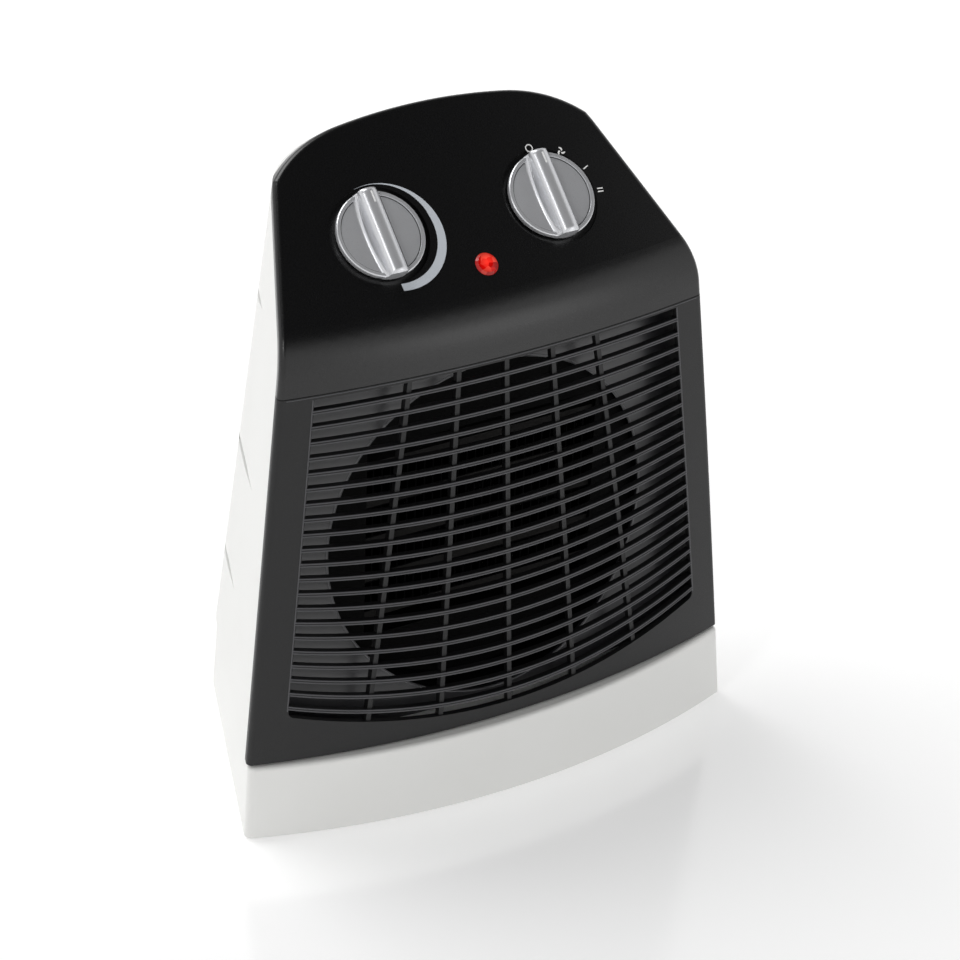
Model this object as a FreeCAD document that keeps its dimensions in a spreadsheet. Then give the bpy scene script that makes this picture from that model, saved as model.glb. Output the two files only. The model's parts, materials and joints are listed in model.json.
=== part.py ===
import FreeCAD, Part
import math
import os

import Sketcher
from FreeCAD import Placement, Rotation, Vector

# Table-top ceramic fan heater: a tapering head that swings on a low base.
# Frame: +Z up, front towards -Y, X across the width, origin on the floor under the middle.
# All sizes are millimetres and degrees.

doc = FreeCAD.newDocument("fan_heater")
sheet = doc.addObject("Spreadsheet::Sheet", "sizes")

SIZES = [
    # base
    ("base_width", 218.0), ("base_depth", 142.6), ("base_height", 31.5), ("base_lift", 1.2),
    ("base_flare", 2.4), ("base_wall", 2.5), ("base_front_bow", 321.0), ("base_corner", 38.0),
    ("base_edge_round", 1.6), ("base_plate_thick", 1.6), ("foot_radius", 7.0), ("foot_inset", 17.0),
    # head envelope
    ("head_gap", 1.0), ("head_width", 213.4), ("head_rise", 226.2), ("head_setback", 6.3),
    ("head_rear_setback", 2.1), ("side_plan_angle", 20.64), ("side_lean", 4.97),
    ("front_lean", 4.8), ("panel_lean", 49.07), ("rear_lean", 11.3), ("bend_rise", 167.7),
    ("bend_round", 25.0), ("front_bow_low", 370.0), ("front_bow_high", 540.0),
    ("head_corner", 38.0), ("top_bow", 207.0), ("top_corner", 51.0), ("top_corner_turn", 10.0),
    ("top_fall", 35.0), ("top_end_turn", 75.0), ("wall", 2.4), ("front_depth", 5.0),
    ("front_edge_round", 2.2), ("seam_rise", 151.8), ("seam_gap", 0.3), ("shell_gap", 0.2),
    # grille
    ("bar_count", 21.0), ("first_bar_rise", 144.6), ("bar_pitch", 6.68), ("bar_height", 1.7),
    ("first_sag", 0.5), ("last_sag", 12.5), ("sag_reach", 89.0), ("opening_top_rise", 150.1),
    ("opening_low_rise", 6.3), ("opening_half_top", 77.8), ("opening_half_low", 91.0),
    ("opening_corner", 4.0), ("rib_width", 1.9), ("rib_set_back", 0.8), ("rib_depth", 2.6),
    ("rib_top_step", 20.0), ("rib_low_step", 30.0),
    # controls
    ("knob_spread", 36.5), ("knob_rise", 194.3), ("knob_radius", 18.0), ("knob_tall", 8.6),
    ("knob_lift", 0.6), ("knob_gap", 1.5), ("recess_deep", 1.2), ("boss_deep", 4.4),
    ("shaft_radius", 3.0), ("running_clearance", 0.05), ("lens_rise", 181.6),
    ("lens_radius", 4.5), ("lens_proud", 1.3), ("control_wide", 27.0), ("control_tall", 23.0),
    ("control_deep", 15.0),
    # air path
    ("air_rise", 75.5), ("duct_radius", 68.5), ("duct_wall", 1.5), ("shield_set_back", 11.5),
    ("shield_thick", 1.2), ("duct_rear", 8.0), ("heater_front", -37.0), ("heater_thick", 14.0),
    ("heater_wide", 100.0), ("heater_tall", 82.0), ("element_rows", 5.0), ("bar_tall", 3.0),
    ("fan_radius", 63.0), ("hub_radius", 17.0), ("hub_front", -13.0), ("hub_long", 17.0),
    ("blade_count", 7.0), ("blade_thick", 1.6), ("spindle_radius", 2.5),
    # motor
    ("core_wide", 54.0), ("core_tall", 60.0), ("core_front", 22.0), ("core_thick", 14.0),
    ("rotor_radius", 13.0), ("air_gap", 0.5), ("coil_wide", 30.0), ("bush_radius", 5.0),
    ("bush_long", 6.0), ("bracket_thick", 1.5), ("mount_thick", 2.5),
    # swivel and swing drive
    ("spigot_radius", 15.0), ("spigot_bore", 10.5), ("hub_drop", 6.2), ("retainer_radius", 20.0),
    ("retainer_thick", 3.0), ("arm_thick", 3.0), ("crank_offset", 36.0), ("swing_angle", 30.0),
    ("crank_pin_radius", 2.5), ("slot_slack", 1.9), ("swing_motor_radius", 24.0),
    ("swing_motor_tall", 10.0), ("crank_thick", 3.0), ("ring_inner", 50.0), ("ring_outer", 58.0),
    # rear
    ("louvre_count", 11.0), ("louvre_pitch", 8.6), ("louvre_height", 3.4), ("louvre_low_rise", 34.5),
    ("louvre_half_low", 38.0), ("louvre_half_high", 34.0), ("grip_half", 31.0), ("grip_low_rise", 179.5),
    ("grip_high_rise", 199.5), ("grip_deep", 19.0), ("grip_round", 5.0), ("gland_radius", 6.0),
    ("gland_rise", 15.5), ("gland_side", 24.0), ("gland_deep", 4.3),
    ("button_deep", 9.0), ("button_body_deep", 14.8), ("vent_height", 3.2), ("vent_length", 40.0),
    ("vent_high_rise", 162.5), ("vent_high_tip", 2.0), ("vent_middle_rise", 93.5), ("vent_middle_tip", -9.0),
    ("vent_low_rise", 38.5), ("vent_low_tip", 9.0), ("button_radius", 5.0), ("button_travel", 2.5),
    # knob form
    ("knob_disc_tall", 5.33), ("knob_rim_round", 1.4), ("grip_bar_half", 3.6), ("grip_overhang", 0.7),
    ("grip_shoulder", 1.2), ("flute_bow", 27.0), ("flute_deep", 1.1), ("flute_side", 10.08),
    ("pointer_wide", 0.9), ("pointer_start", 9.9), ("pointer_long", 7.56), ("pointer_deep", 0.5),
    ("shaft_in_knob", 4.73), ("shaft_in_body", 11.0), ("body_gap", 0.2),
    # motor form
    ("core_rim", 9.0), ("limb_wide", 12.0), ("yoke_tall", 9.0), ("coil_overhang", 6.0),
    ("bracket_stand", 9.0), ("bracket_tall", 14.0), ("bracket_inset", 4.0), ("mount_band", 9.0),
    # element form
    ("element_inset", 2.0), ("fin_cell", 3.6), ("fin_thick", 0.5),
    # fastenings and small parts
    ("screw_radius", 1.5), ("screw_head", 3.0), ("screw_sink", 1.4), ("post_radius", 4.0),
    ("casing_screw_long", 11.0), ("post_low_side", 43.0), ("post_low_rise", 13.5),
    ("post_high_side", 39.0), ("post_high_rise", 164.5), ("drill_clearance", 0.1),
    ("plunger_radius", 2.5), ("plunger_long", 12.0), ("tip_side", 52.0), ("tip_front", 22.0),
    ("tip_switch_wide", 20.0), ("tip_switch_deep", 11.0), ("tip_switch_tall", 15.0),
]
# The head stands on the base, so its heights are kept as rises above the base's top.
HEIGHTS = [
    ("head_height", "head_rise"), ("bend_height", "bend_rise"), ("seam_height", "seam_rise"),
    ("first_bar", "first_bar_rise"), ("opening_top", "opening_top_rise"),
    ("opening_low", "opening_low_rise"), ("knob_height", "knob_rise"), ("lens_height", "lens_rise"),
    ("air_height", "air_rise"), ("louvre_low", "louvre_low_rise"), ("grip_low", "grip_low_rise"),
    ("grip_high", "grip_high_rise"), ("gland_height", "gland_rise"), ("vent_high", "vent_high_rise"),
    ("vent_middle", "vent_middle_rise"), ("vent_low", "vent_low_rise"), ("post_low", "post_low_rise"),
    ("post_high", "post_high_rise"),
]
CELLS = SIZES + [(height, f"=base_height + {rise}") for height, rise in HEIGHTS]
for row, (name, value) in enumerate(CELLS, start=1):
    sheet.set(f"A{row}", name)
    sheet.set(f"B{row}", str(value))
    sheet.setAlias(f"B{row}", name)
doc.recompute()


def size(name):
    return float(sheet.get(name))


def tan(name):
    return math.tan(math.radians(size(name)))


def cos(name):
    return math.cos(math.radians(size(name)))


parts = []


def register(obj, label):
    obj.Label = label
    parts.append(obj)
    return obj


def feature(label, shape, placement=None):
    """A sub-part whose outline is worked out in code from the sheet."""
    obj = doc.addObject("Part::Feature", label)
    obj.Shape = shape
    if placement is not None:
        obj.Placement = placement
    return register(obj, label)


def bind(obj, **expressions):
    for prop, text in expressions.items():
        obj.setExpression(prop.replace("_dot_", "."), text)
    return obj


def tube(name, radius, length, x="0", y="0", z="0", bore=None, turn=None):
    """A round bar, or a ring when it has a bore, bound to the sheet."""
    outer = doc.addObject("Part::Cylinder", name)
    bind(outer, Radius=radius, Height=length)
    result = outer
    if bore is not None:
        inner = doc.addObject("Part::Cylinder", name + "_bore")
        bind(inner, Radius=bore, Height=length)
        result = doc.addObject("Part::Cut", name + "_ring")
        result.Base = outer
        result.Tool = inner
    if turn is not None:
        result.Placement = Placement(Vector(), turn)
    bind(result, Placement_dot_Base_dot_x=x, Placement_dot_Base_dot_y=y, Placement_dot_Base_dot_z=z)
    return result


def block(name, wide, deep, tall, x="0", y="0", z="0"):
    """A box centred across X, bound to the sheet; y and z are its near lower edge."""
    obj = doc.addObject("Part::Box", name)
    bind(obj, Length=wide, Width=deep, Height=tall)
    bind(obj, Placement_dot_Base_dot_x=f"({x}) - ({wide}) / 2",
         Placement_dot_Base_dot_y=y, Placement_dot_Base_dot_z=z)
    return obj


def joined(name, members):
    obj = doc.addObject("Part::MultiFuse", name)
    obj.Shapes = members
    return obj


def group(name, members):
    obj = doc.addObject("Part::Compound", name)
    obj.Links = members
    return obj


def minus(name, base, tool):
    obj = doc.addObject("Part::Cut", name)
    obj.Base = base
    obj.Tool = tool
    return obj


def plane_of(body, role):
    return next(item for item in body.Origin.OriginFeatures if item.Role == role)


def new_sketch(body, name, role="XY_Plane", lift=None):
    sketch = body.newObject("Sketcher::SketchObject", f"{body.Name}_{name}")
    sketch.AttachmentSupport = [(plane_of(body, role), "")]
    sketch.MapMode = "FlatFace"
    if lift is not None:
        sketch.setExpression("AttachmentOffset.Base.z", lift)
    return sketch


def add_circle(sketch, radius, start):
    """A circle about the sketch's origin with its radius bound to the sheet."""
    index = sketch.addGeometry(Part.Circle(Vector(), Vector(0, 0, 1), start), False)
    sketch.addConstraint(Sketcher.Constraint("Coincident", index, 3, -1, 1))
    bound = sketch.addConstraint(Sketcher.Constraint("Radius", index, start))
    sketch.setExpression(f"Constraints[{bound}]", radius)


def add_outline(sketch, corners):
    """A closed outline of straight lines; every corner's two places are sheet expressions."""
    spots = [Vector(number(x), number(y), 0) for x, y in corners]
    lines = [sketch.addGeometry(Part.LineSegment(a, b), False)
             for a, b in zip(spots, spots[1:] + spots[:1])]
    for line, following in zip(lines, lines[1:] + lines[:1]):
        sketch.addConstraint(Sketcher.Constraint("Coincident", line, 2, following, 1))
    for line, spot, pair in zip(lines, spots, corners):
        for kind, value, text in (("DistanceX", spot.x, pair[0]), ("DistanceY", spot.y, pair[1])):
            if abs(value) < 1e-9:
                axis = -2 if kind == "DistanceX" else -1
                sketch.addConstraint(Sketcher.Constraint("PointOnObject", line, 1, axis))
            else:
                bound = sketch.addConstraint(Sketcher.Constraint(kind, -1, 1, line, 1, value))
                sketch.setExpression(f"Constraints[{bound}]", text)


probe = doc.addObject("App::FeaturePython", "probe")
probe.addProperty("App::PropertyFloat", "Value")


def number(text):
    """The present value of a sheet expression, for a sketch's first guess."""
    probe.setExpression("Value", text)
    probe.recompute()
    value = probe.Value
    probe.setExpression("Value", None)
    return value


def disc_body(label, radius, length, bore=None, lift=None):
    """A padded disc or ring on its own body."""
    body = doc.addObject("PartDesign::Body", label)
    sketch = new_sketch(body, "outline", lift=lift)
    add_circle(sketch, radius, 10.0)
    if bore is not None:
        add_circle(sketch, bore, 2.0)
    pad = body.newObject("PartDesign::Pad", f"{label}_pad")
    pad.Profile = sketch
    pad.setExpression("Length", length)
    return body


def turned_body(label, corners):
    """A body turned about its own Z axis from half of its section."""
    body = doc.addObject("PartDesign::Body", label)
    sketch = new_sketch(body, "section", role="XZ_Plane")
    add_outline(sketch, corners)
    turn = body.newObject("PartDesign::Revolution", f"{label}_turned")
    turn.Profile = sketch
    turn.ReferenceAxis = (sketch, ["V_Axis"])
    turn.Angle = 360.0
    return body


def place(body, spot, turn=None):
    body.Placement = Placement(spot, turn or Rotation())
    return body


ABOUT_X = Vector(1, 0, 0)
BACKWARDS = Rotation(ABOUT_X, -90)

# ---------------------------------------------------------------- head envelope

head_bottom = size("base_height") + size("head_gap")
front_line_y = -size("base_depth") / 2 + size("head_setback")
bend_y = front_line_y + (size("bend_height") - head_bottom) * tan("front_lean")
corner_y = front_line_y + size("front_bow_low") - math.sqrt(
    size("front_bow_low") ** 2 - (size("head_width") / 2) ** 2)
rear_low_y = size("base_depth") / 2 - size("head_rear_setback")
apex_y = bend_y + (size("head_height") - size("bend_height")) * tan("panel_lean")
beyond = 150.0


def front_bow(z):
    """Plan radius of the bowed front at a height."""
    share = (z - head_bottom) / (size("bend_height") - head_bottom)
    share = min(max(share, 0.0), 1.0)
    return size("front_bow_low") + share * (size("front_bow_high") - size("front_bow_low"))


def front_y(z, inset=0.0):
    """Middle of the bowed front at a height, moved inwards by a wall."""
    low = bend_y + (z - size("bend_height")) * tan("front_lean") + inset / cos("front_lean")
    high = bend_y + (z - size("bend_height")) * tan("panel_lean") + inset / cos("panel_lean")
    return max(low, high)


def side_x(y, z, inset=0.0):
    """Half width of the flat, tapering side at a place."""
    lean = (z - head_bottom) * tan("side_lean")
    return (size("head_width") / 2 - lean - (y - corner_y) * tan("side_plan_angle")
            - inset / cos("side_plan_angle"))


def rear_y(z, inset=0.0):
    return rear_low_y - (z - head_bottom) * tan("rear_lean") - inset / cos("rear_lean")


def bowed_section(z, y, bow):
    """A flat section whose front edge is a wide arc."""
    sag = bow - math.sqrt(bow ** 2 - beyond ** 2)
    left, middle, right = (Vector(-beyond, y + sag, z), Vector(0, y, z), Vector(beyond, y + sag, z))
    back = [Vector(beyond, beyond, z), Vector(-beyond, beyond, z)]
    edges = [Part.Arc(left, middle, right).toShape(), Part.makeLine(right, back[0]),
             Part.makeLine(back[0], back[1]), Part.makeLine(back[1], left)]
    return Part.Wire(edges)


def front_block(inset):
    """Everything behind the front surface, moved inwards by a wall."""
    slope = tan("panel_lean") - tan("front_lean")
    gain = inset / cos("panel_lean") - inset / cos("front_lean")
    bend_z = size("bend_height") - gain / slope
    levels = [head_bottom - 8.0, bend_z, size("head_height") + 12.0]
    wires = [bowed_section(z, front_y(z, inset), front_bow(z) - inset) for z in levels]
    solid = Part.makeLoft(wires, True, True)
    bend_edges = [edge for edge in solid.Edges
                  if abs(edge.BoundBox.ZMax - bend_z) < 1e-3 and edge.BoundBox.ZLength < 1e-3
                  and edge.BoundBox.YMin < bend_y + 30 and edge.BoundBox.XLength > beyond]
    radius = max(size("bend_round") - inset, 2.0)
    return solid.makeFillet(radius, bend_edges)


def tapered_section(z, half, y, slope_angle, rear, corner, front):
    """A flat section with tapering sides and rounded rear corners.

    The side passes through (half, y); front is how far forward the section runs."""
    slope = math.tan(math.radians(slope_angle))
    rear_half = half - (rear - y) * slope
    front_half = half - (front - y) * slope
    run = corner * math.tan(math.radians((90 - slope_angle) / 2))
    along = Vector(math.sin(math.radians(slope_angle)), -math.cos(math.radians(slope_angle)), 0)
    start = Vector(rear_half, rear, z) + along * run
    centre = Vector(rear_half - run, rear - corner, z)
    middle_angle = math.radians((90 + slope_angle) / 2)
    middle = centre + Vector(math.cos(middle_angle), math.sin(middle_angle), 0) * corner
    end = Vector(rear_half - run, rear, z)

    def flip(spot):
        return Vector(-spot.x, spot.y, spot.z)

    front_right = Vector(front_half, front, z)
    edges = [Part.makeLine(front_right, start), Part.Arc(start, middle, end).toShape(),
             Part.makeLine(end, flip(end)), Part.Arc(flip(end), flip(middle), flip(start)).toShape(),
             Part.makeLine(flip(start), flip(front_right))]
    return edges, front_right, flip(front_right)


def rear_block(inset):
    """The tapering body of the casing, run forward past the front."""
    wires = []
    for z in (head_bottom - 8.0, size("head_height") + 12.0):
        reach = -beyond
        edges, right, left = tapered_section(
            z, side_x(corner_y, z, inset), corner_y, size("side_plan_angle"), rear_y(z, inset),
            size("head_corner") - inset, reach)
        edges.append(Part.makeLine(left, right))
        wires.append(Part.Wire(edges))
    return Part.makeLoft(wires, True, True)


def top_block(inset):
    """The arched top, which falls away towards the rear."""
    drop = inset / cos("top_fall")
    centre_z = size("head_height") - size("top_bow")
    bow = size("top_bow") - drop
    corner = size("top_corner") - drop
    turn = math.radians(size("top_corner_turn"))
    last = math.radians(size("top_end_turn"))
    tangent = Vector(size("top_bow") * math.sin(turn), apex_y,
                     centre_z + size("top_bow") * math.cos(turn))
    corner_centre = tangent - Vector(math.sin(turn), 0, math.cos(turn)) * size("top_corner")

    def on_corner(angle):
        return corner_centre + Vector(math.sin(angle), 0, math.cos(angle)) * corner

    def flip(spot):
        return Vector(-spot.x, spot.y, spot.z)

    apex = Vector(0, apex_y, centre_z + bow)
    start, middle, end = on_corner(turn), on_corner((turn + last) / 2), on_corner(last)
    depth = end.z + beyond
    foot = Vector(end.x + depth * math.cos(last) / math.sin(last), apex_y, -beyond)
    edges = [Part.makeLine(foot, end), Part.Arc(end, middle, start).toShape(),
             Part.Arc(start, apex, flip(start)).toShape(),
             Part.Arc(flip(start), flip(middle), flip(end)).toShape(),
             Part.makeLine(flip(end), flip(foot)), Part.makeLine(flip(foot), foot)]
    face = Part.Face(Part.Wire(edges))
    fall = Vector(0, cos("top_fall"), -math.sin(math.radians(size("top_fall"))))
    face.translate(fall * -beyond)
    return face.extrude(fall * (2 * beyond))


def slab(low, high):
    """Everything between two heights."""
    return Part.makeBox(4 * beyond, 4 * beyond, high - low, Vector(-2 * beyond, -2 * beyond, low))


def envelope(inset, low=None):
    solid = front_block(inset).common(rear_block(inset)).common(top_block(inset))
    floor = head_bottom if low is None else low
    return solid.common(slab(floor, size("head_height") + 20))


def bow_sag(x, z):
    bow = front_bow(z)
    return bow - math.sqrt(bow ** 2 - x ** 2)


def rounded_envelope():
    """The outer skin with its front rim softened."""
    solid = envelope(0.0)

    def on_front(spot):
        away = abs(spot.y - front_y(spot.z) - bow_sag(spot.x, spot.z))
        near_bend = abs(spot.z - size("bend_height")) < size("bend_round")
        return away < (2.6 if near_bend else 0.2)

    rim = []
    for edge in solid.Edges:
        middle = edge.valueAt((edge.FirstParameter + edge.LastParameter) / 2)
        ends = [vertex.Point for vertex in edge.Vertexes]
        across = edge.BoundBox.XMin < -5 and edge.BoundBox.XMax > 5
        low = edge.BoundBox.ZMax < size("seam_height") - 60 and edge.BoundBox.ZLength < 1
        if all(on_front(spot) for spot in ends + [middle]) and not low:
            if not across or edge.BoundBox.ZMax > size("head_height") - 2:
                rim.append(edge)
    return solid.makeFillet(size("front_edge_round"), rim)


outer = rounded_envelope()
inner = envelope(size("wall"), low=head_bottom - 1)
front_zone = outer.cut(front_block(size("front_depth")))
rear_zone = outer.common(front_block(size("front_depth") + size("shell_gap")))
front_shell = front_zone.cut(inner)

# ---------------------------------------------------------------- front grille

half_gap = size("seam_gap") / 2
bar_total = int(size("bar_count"))


def bar_level(index):
    """Middle height and sag of a grille bar; index 0 and bar_total + 1 are the opening's edges."""
    if index == 0:
        return size("opening_top"), 0.0, 0.0
    if index > bar_total:
        return size("opening_low"), size("last_sag") + 0.7, 0.0
    share = (index - 1) / (bar_total - 1)
    sag = size("first_sag") + share * (size("last_sag") - size("first_sag"))
    return size("first_bar") - (index - 1) * size("bar_pitch"), sag, size("bar_height") / 2


def opening_half(z):
    fall = size("opening_top") - z
    low_corner = size("opening_low") + size("last_sag")
    rate = (size("opening_half_low") - size("opening_half_top")) / (size("opening_top") - low_corner)
    return size("opening_half_top") + fall * rate


def sagging(level, sag, reach):
    """Three places along a line that sags towards the middle of the grille."""
    rise = sag * (reach / size("sag_reach")) ** 2
    return (Vector(-reach, -beyond, level + rise), Vector(0, -beyond, level),
            Vector(reach, -beyond, level + rise))


def curve(spots):
    left, middle, right = spots
    if abs(middle.z - left.z) < 1e-6:
        return Part.makeLine(left, right)
    return Part.Arc(left, middle, right).toShape()


def slot(index):
    """The gap under one bar, as a block that passes through the front from before to behind."""
    high_level, high_sag, high_half = bar_level(index)
    low_level, low_sag, low_half = bar_level(index + 1)
    reach_high = opening_half(high_level + high_sag)
    reach_low = opening_half(low_level + low_sag)
    top = sagging(high_level - high_half, high_sag, reach_high)
    low = sagging(low_level + low_half, low_sag, reach_low)
    wire = Part.Wire([curve(top), Part.makeLine(top[2], low[2]), curve(low),
                      Part.makeLine(low[0], top[0])])
    return Part.Face(wire).extrude(Vector(0, beyond, 0))


def rib(step):
    """One upright rib, fanning outwards as it goes down."""
    half = size("rib_width") / 2
    high, low = size("opening_top") + 1, size("opening_low") - 1
    x_high, x_low = step * size("rib_top_step"), step * size("rib_low_step")
    spots = [Vector(x_high - half, -beyond, high), Vector(x_high + half, -beyond, high),
             Vector(x_low + half, -beyond, low), Vector(x_low - half, -beyond, low)]
    rise = abs(step) ** 2 * 1.2
    spots[2].z += rise
    spots[3].z += rise
    face = Part.Face(Part.makePolygon(spots + spots[:1]))
    return face.extrude(Vector(0, 2 * beyond, 0))


slots = [slot(index) for index in range(bar_total + 1)]
soft = slots[-1]
upright = [edge for edge in soft.Edges
           if edge.BoundBox.YLength > beyond / 2 and edge.BoundBox.ZMax < size("opening_low")
           + size("last_sag") + 2.0]
slots[-1] = soft.makeFillet(size("opening_corner") * 0.6, upright)
grille = front_shell.common(slab(head_bottom, size("seam_height") - half_gap))
grille = grille.cut(Part.makeCompound(slots))
rib_layer = front_block(size("rib_set_back")).cut(front_block(size("rib_set_back") + size("rib_depth")))
rib_layer = rib_layer.common(slab(head_bottom + 1, size("seam_height") - 1))
ribs = [rib_layer.common(rib(step)) for step in (-2, -1, 0, 1, 2)]
grille = grille.fuse(ribs).removeSplitter()
feature("front_grille", grille)

# ---------------------------------------------------------------- control panel

panel_turn = Rotation(ABOUT_X, 90 - size("panel_lean"))


def on_panel(x, z):
    """Placement with its Z axis square to the sloping panel and its Y axis up the slope."""
    return Placement(Vector(x, front_y(z) + bow_sag(x, z), z), panel_turn)


knob_spots = {"thermostat": on_panel(-size("knob_spread"), size("knob_height")),
              "selector": on_panel(size("knob_spread"), size("knob_height"))}
lens_spot = on_panel(0, size("lens_height"))


def round_bar(radius, low, high, spot):
    bar = Part.makeCylinder(radius, high - low, Vector(0, 0, low))
    bar.Placement = spot
    return bar


panel = front_shell.common(slab(size("seam_height") + half_gap, size("head_height") + 20))
recess_radius = size("knob_radius") + size("knob_gap")
for spot in knob_spots.values():
    boss = round_bar(recess_radius + 2.0, -size("boss_deep"), 3.0, spot).common(outer)
    panel = panel.fuse(boss)
    panel = panel.cut(round_bar(recess_radius, -size("recess_deep"), 10, spot))
    panel = panel.cut(round_bar(size("shaft_radius") + 0.6, -10, 10, spot))
lens_seat = round_bar(size("lens_radius") + 1.6, -size("boss_deep"), 1.0, lens_spot).common(outer)
panel = panel.fuse(lens_seat)
panel = panel.cut(round_bar(size("lens_radius") + 0.1, -10, 10, lens_spot))
feature("control_panel", panel.removeSplitter())

# ---------------------------------------------------------------- rear casing

casing = rear_zone.cut(inner)


def grip_block(grow):
    """The finger recess below the top of the back."""
    wide = 2 * (size("grip_half") + grow)
    tall = size("grip_high") - size("grip_low") + 2 * grow
    front = rear_y(size("grip_high")) - size("grip_deep") - grow
    solid = Part.makeBox(wide, beyond, tall, Vector(-wide / 2, front, size("grip_low") - grow))
    edges = [edge for edge in solid.Edges if edge.BoundBox.YLength > 1]
    return solid.makeFillet(size("grip_round") + grow, edges)


casing = casing.fuse(grip_block(size("wall")).common(outer)).cut(grip_block(0.0))


def louvre(level):
    """One slot of the air intake in the back."""
    share = (level - size("louvre_low")) / (size("louvre_pitch") * size("louvre_count"))
    half = size("louvre_half_low") + share * (size("louvre_half_high") - size("louvre_half_low"))
    tall = size("louvre_height")
    solid = Part.makeBox(2 * half, 30, tall, Vector(-half, rear_y(level) - 14, level))
    edges = [edge for edge in solid.Edges if edge.BoundBox.YLength > 1]
    return solid.makeFillet(tall / 2 - 0.01, edges)


def side_vent(level, tip_y, side):
    """A thin pointed slot that runs back from the side into the rounded rear corner."""
    half = size("vent_height") / 2
    tail_y = min(tip_y + size("vent_length"), rear_y(level) - size("head_corner") * 0.35)
    swell_y = tip_y + (tail_y - tip_y) * 0.45
    spots = [Vector(0, tip_y, level), Vector(0, swell_y, level + half), Vector(0, tail_y, level + half),
             Vector(0, tail_y, level - half), Vector(0, swell_y, level - half)]
    face = Part.Face(Part.makePolygon(spots + spots[:1]))
    return face.extrude(Vector(side * beyond, 0, 0))


vents = [louvre(size("louvre_low") + step * size("louvre_pitch"))
         for step in range(int(size("louvre_count")))]
for name in ("high", "middle", "low"):
    for side in (-1, 1):
        vents.append(side_vent(size(f"vent_{name}"), size(f"vent_{name}_tip"), side))
casing = casing.cut(Part.makeCompound(vents))

gland_spot = Vector(-size("gland_side"), rear_y(size("gland_height")), size("gland_height"))
gland_axis = Rotation(ABOUT_X, -90 + size("rear_lean"))
button_spot = Vector(size("gland_side"), gland_spot.y, gland_spot.z)
screw_spots = [Vector(side * size(f"post_{row}_side"), rear_y(size(f"post_{row}")), size(f"post_{row}"))
               for side in (-1, 1) for row in ("low", "high")]


def square_to_rear(radius, low, high, spot):
    """A round bar square to the leaning back; heights run outwards from its surface."""
    bar = Part.makeCylinder(radius, high - low, Vector(0, 0, low))
    bar.Placement = Placement(spot, gland_axis)
    return bar


holes = [square_to_rear(size("gland_radius") + size("drill_clearance"), -10, 10, gland_spot),
         square_to_rear(size("button_radius") + 0.3, -10, 10, button_spot)]
for spot in screw_spots:
    post = square_to_rear(size("post_radius"), -size("casing_screw_long") - 1, -1, spot)
    casing = casing.fuse(post.common(outer))
    shank_hole = size("screw_radius") + size("drill_clearance")
    holes.append(square_to_rear(shank_hole, -size("casing_screw_long") - 2, 5, spot))
    holes.append(square_to_rear(size("screw_head") + 0.2, -size("screw_sink"), 5, spot))
casing = casing.cut(Part.makeCompound(holes))
feature("rear_casing", casing.removeSplitter())

# ---------------------------------------------------------------- head floor and swivel

floor_thick = size("wall")
floor_top = head_bottom + floor_thick
spigot_low = size("base_height") - size("hub_drop") - 0.3
floor = envelope(size("wall") + 0.1).common(slab(head_bottom, floor_top))
spigot = Part.makeCylinder(size("spigot_radius"), floor_top - spigot_low, Vector(0, 0, spigot_low))
floor = floor.fuse(spigot)
floor = floor.cut(Part.makeCylinder(size("spigot_bore"), 60, Vector(0, 0, spigot_low - 5)))
screw_ring = (size("spigot_radius") + size("spigot_bore")) / 2


def swivel_screw(radius, low, high):
    spots = [Vector(math.cos(math.radians(a)) * screw_ring, math.sin(math.radians(a)) * screw_ring, low)
             for a in (180, 270, 0)]
    return [Part.makeCylinder(radius, high - low, spot) for spot in spots]


pilot = size("screw_radius") * 0.75
floor = floor.cut(swivel_screw(pilot, spigot_low - 1, spigot_low + 9))
feature("head_floor", floor.removeSplitter())

retainer_low = spigot_low - size("retainer_thick")
retainer = Part.makeCylinder(size("retainer_radius"), size("retainer_thick"), Vector(0, 0, retainer_low))
retainer = retainer.cut(Part.makeCylinder(size("spigot_bore"), 20, Vector(0, 0, retainer_low - 5)))
retainer = retainer.cut(swivel_screw(pilot + 0.05, retainer_low - 1, spigot_low + 1))
feature("swivel_retainer", retainer)

# The swing crank turns a pin in the slot of this arm.
crank_throw = size("crank_offset") * math.tan(math.radians(size("swing_angle")))
arm_low = retainer_low - size("arm_thick")
slot_half = size("crank_pin_radius") + size("slot_slack")
slot_far = size("crank_offset") + crank_throw
slot_near = size("crank_offset") - crank_throw


def rounded_bar(half, near, far, low, thick):
    """A flat bar with round ends along Y."""
    bar = Part.makeBox(2 * half, far - near, thick, Vector(-half, near, low))
    ends = [Part.makeCylinder(half, thick, Vector(0, y, low)) for y in (near, far)]
    return bar.fuse(ends).removeSplitter()


arm = rounded_bar(slot_half + 3.6, 0, slot_far, arm_low, size("arm_thick"))
arm = arm.fuse(Part.makeCylinder(size("spigot_radius"), size("arm_thick"), Vector(0, 0, arm_low)))
arm = arm.cut(rounded_bar(slot_half, slot_near, slot_far, arm_low - 1, size("arm_thick") + 2))
arm = arm.cut(swivel_screw(pilot + 0.05, arm_low - 1, retainer_low + 1))
feature("swing_arm", arm.removeSplitter())

screws = []
for shank, head in zip(swivel_screw(pilot, arm_low, spigot_low + 8),
                       swivel_screw(pilot + 1.1, arm_low - 1.2, arm_low)):
    screws.append(shank.fuse(head).removeSplitter())
feature("swivel_screws", Part.makeCompound(screws))

# ---------------------------------------------------------------- base


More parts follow.
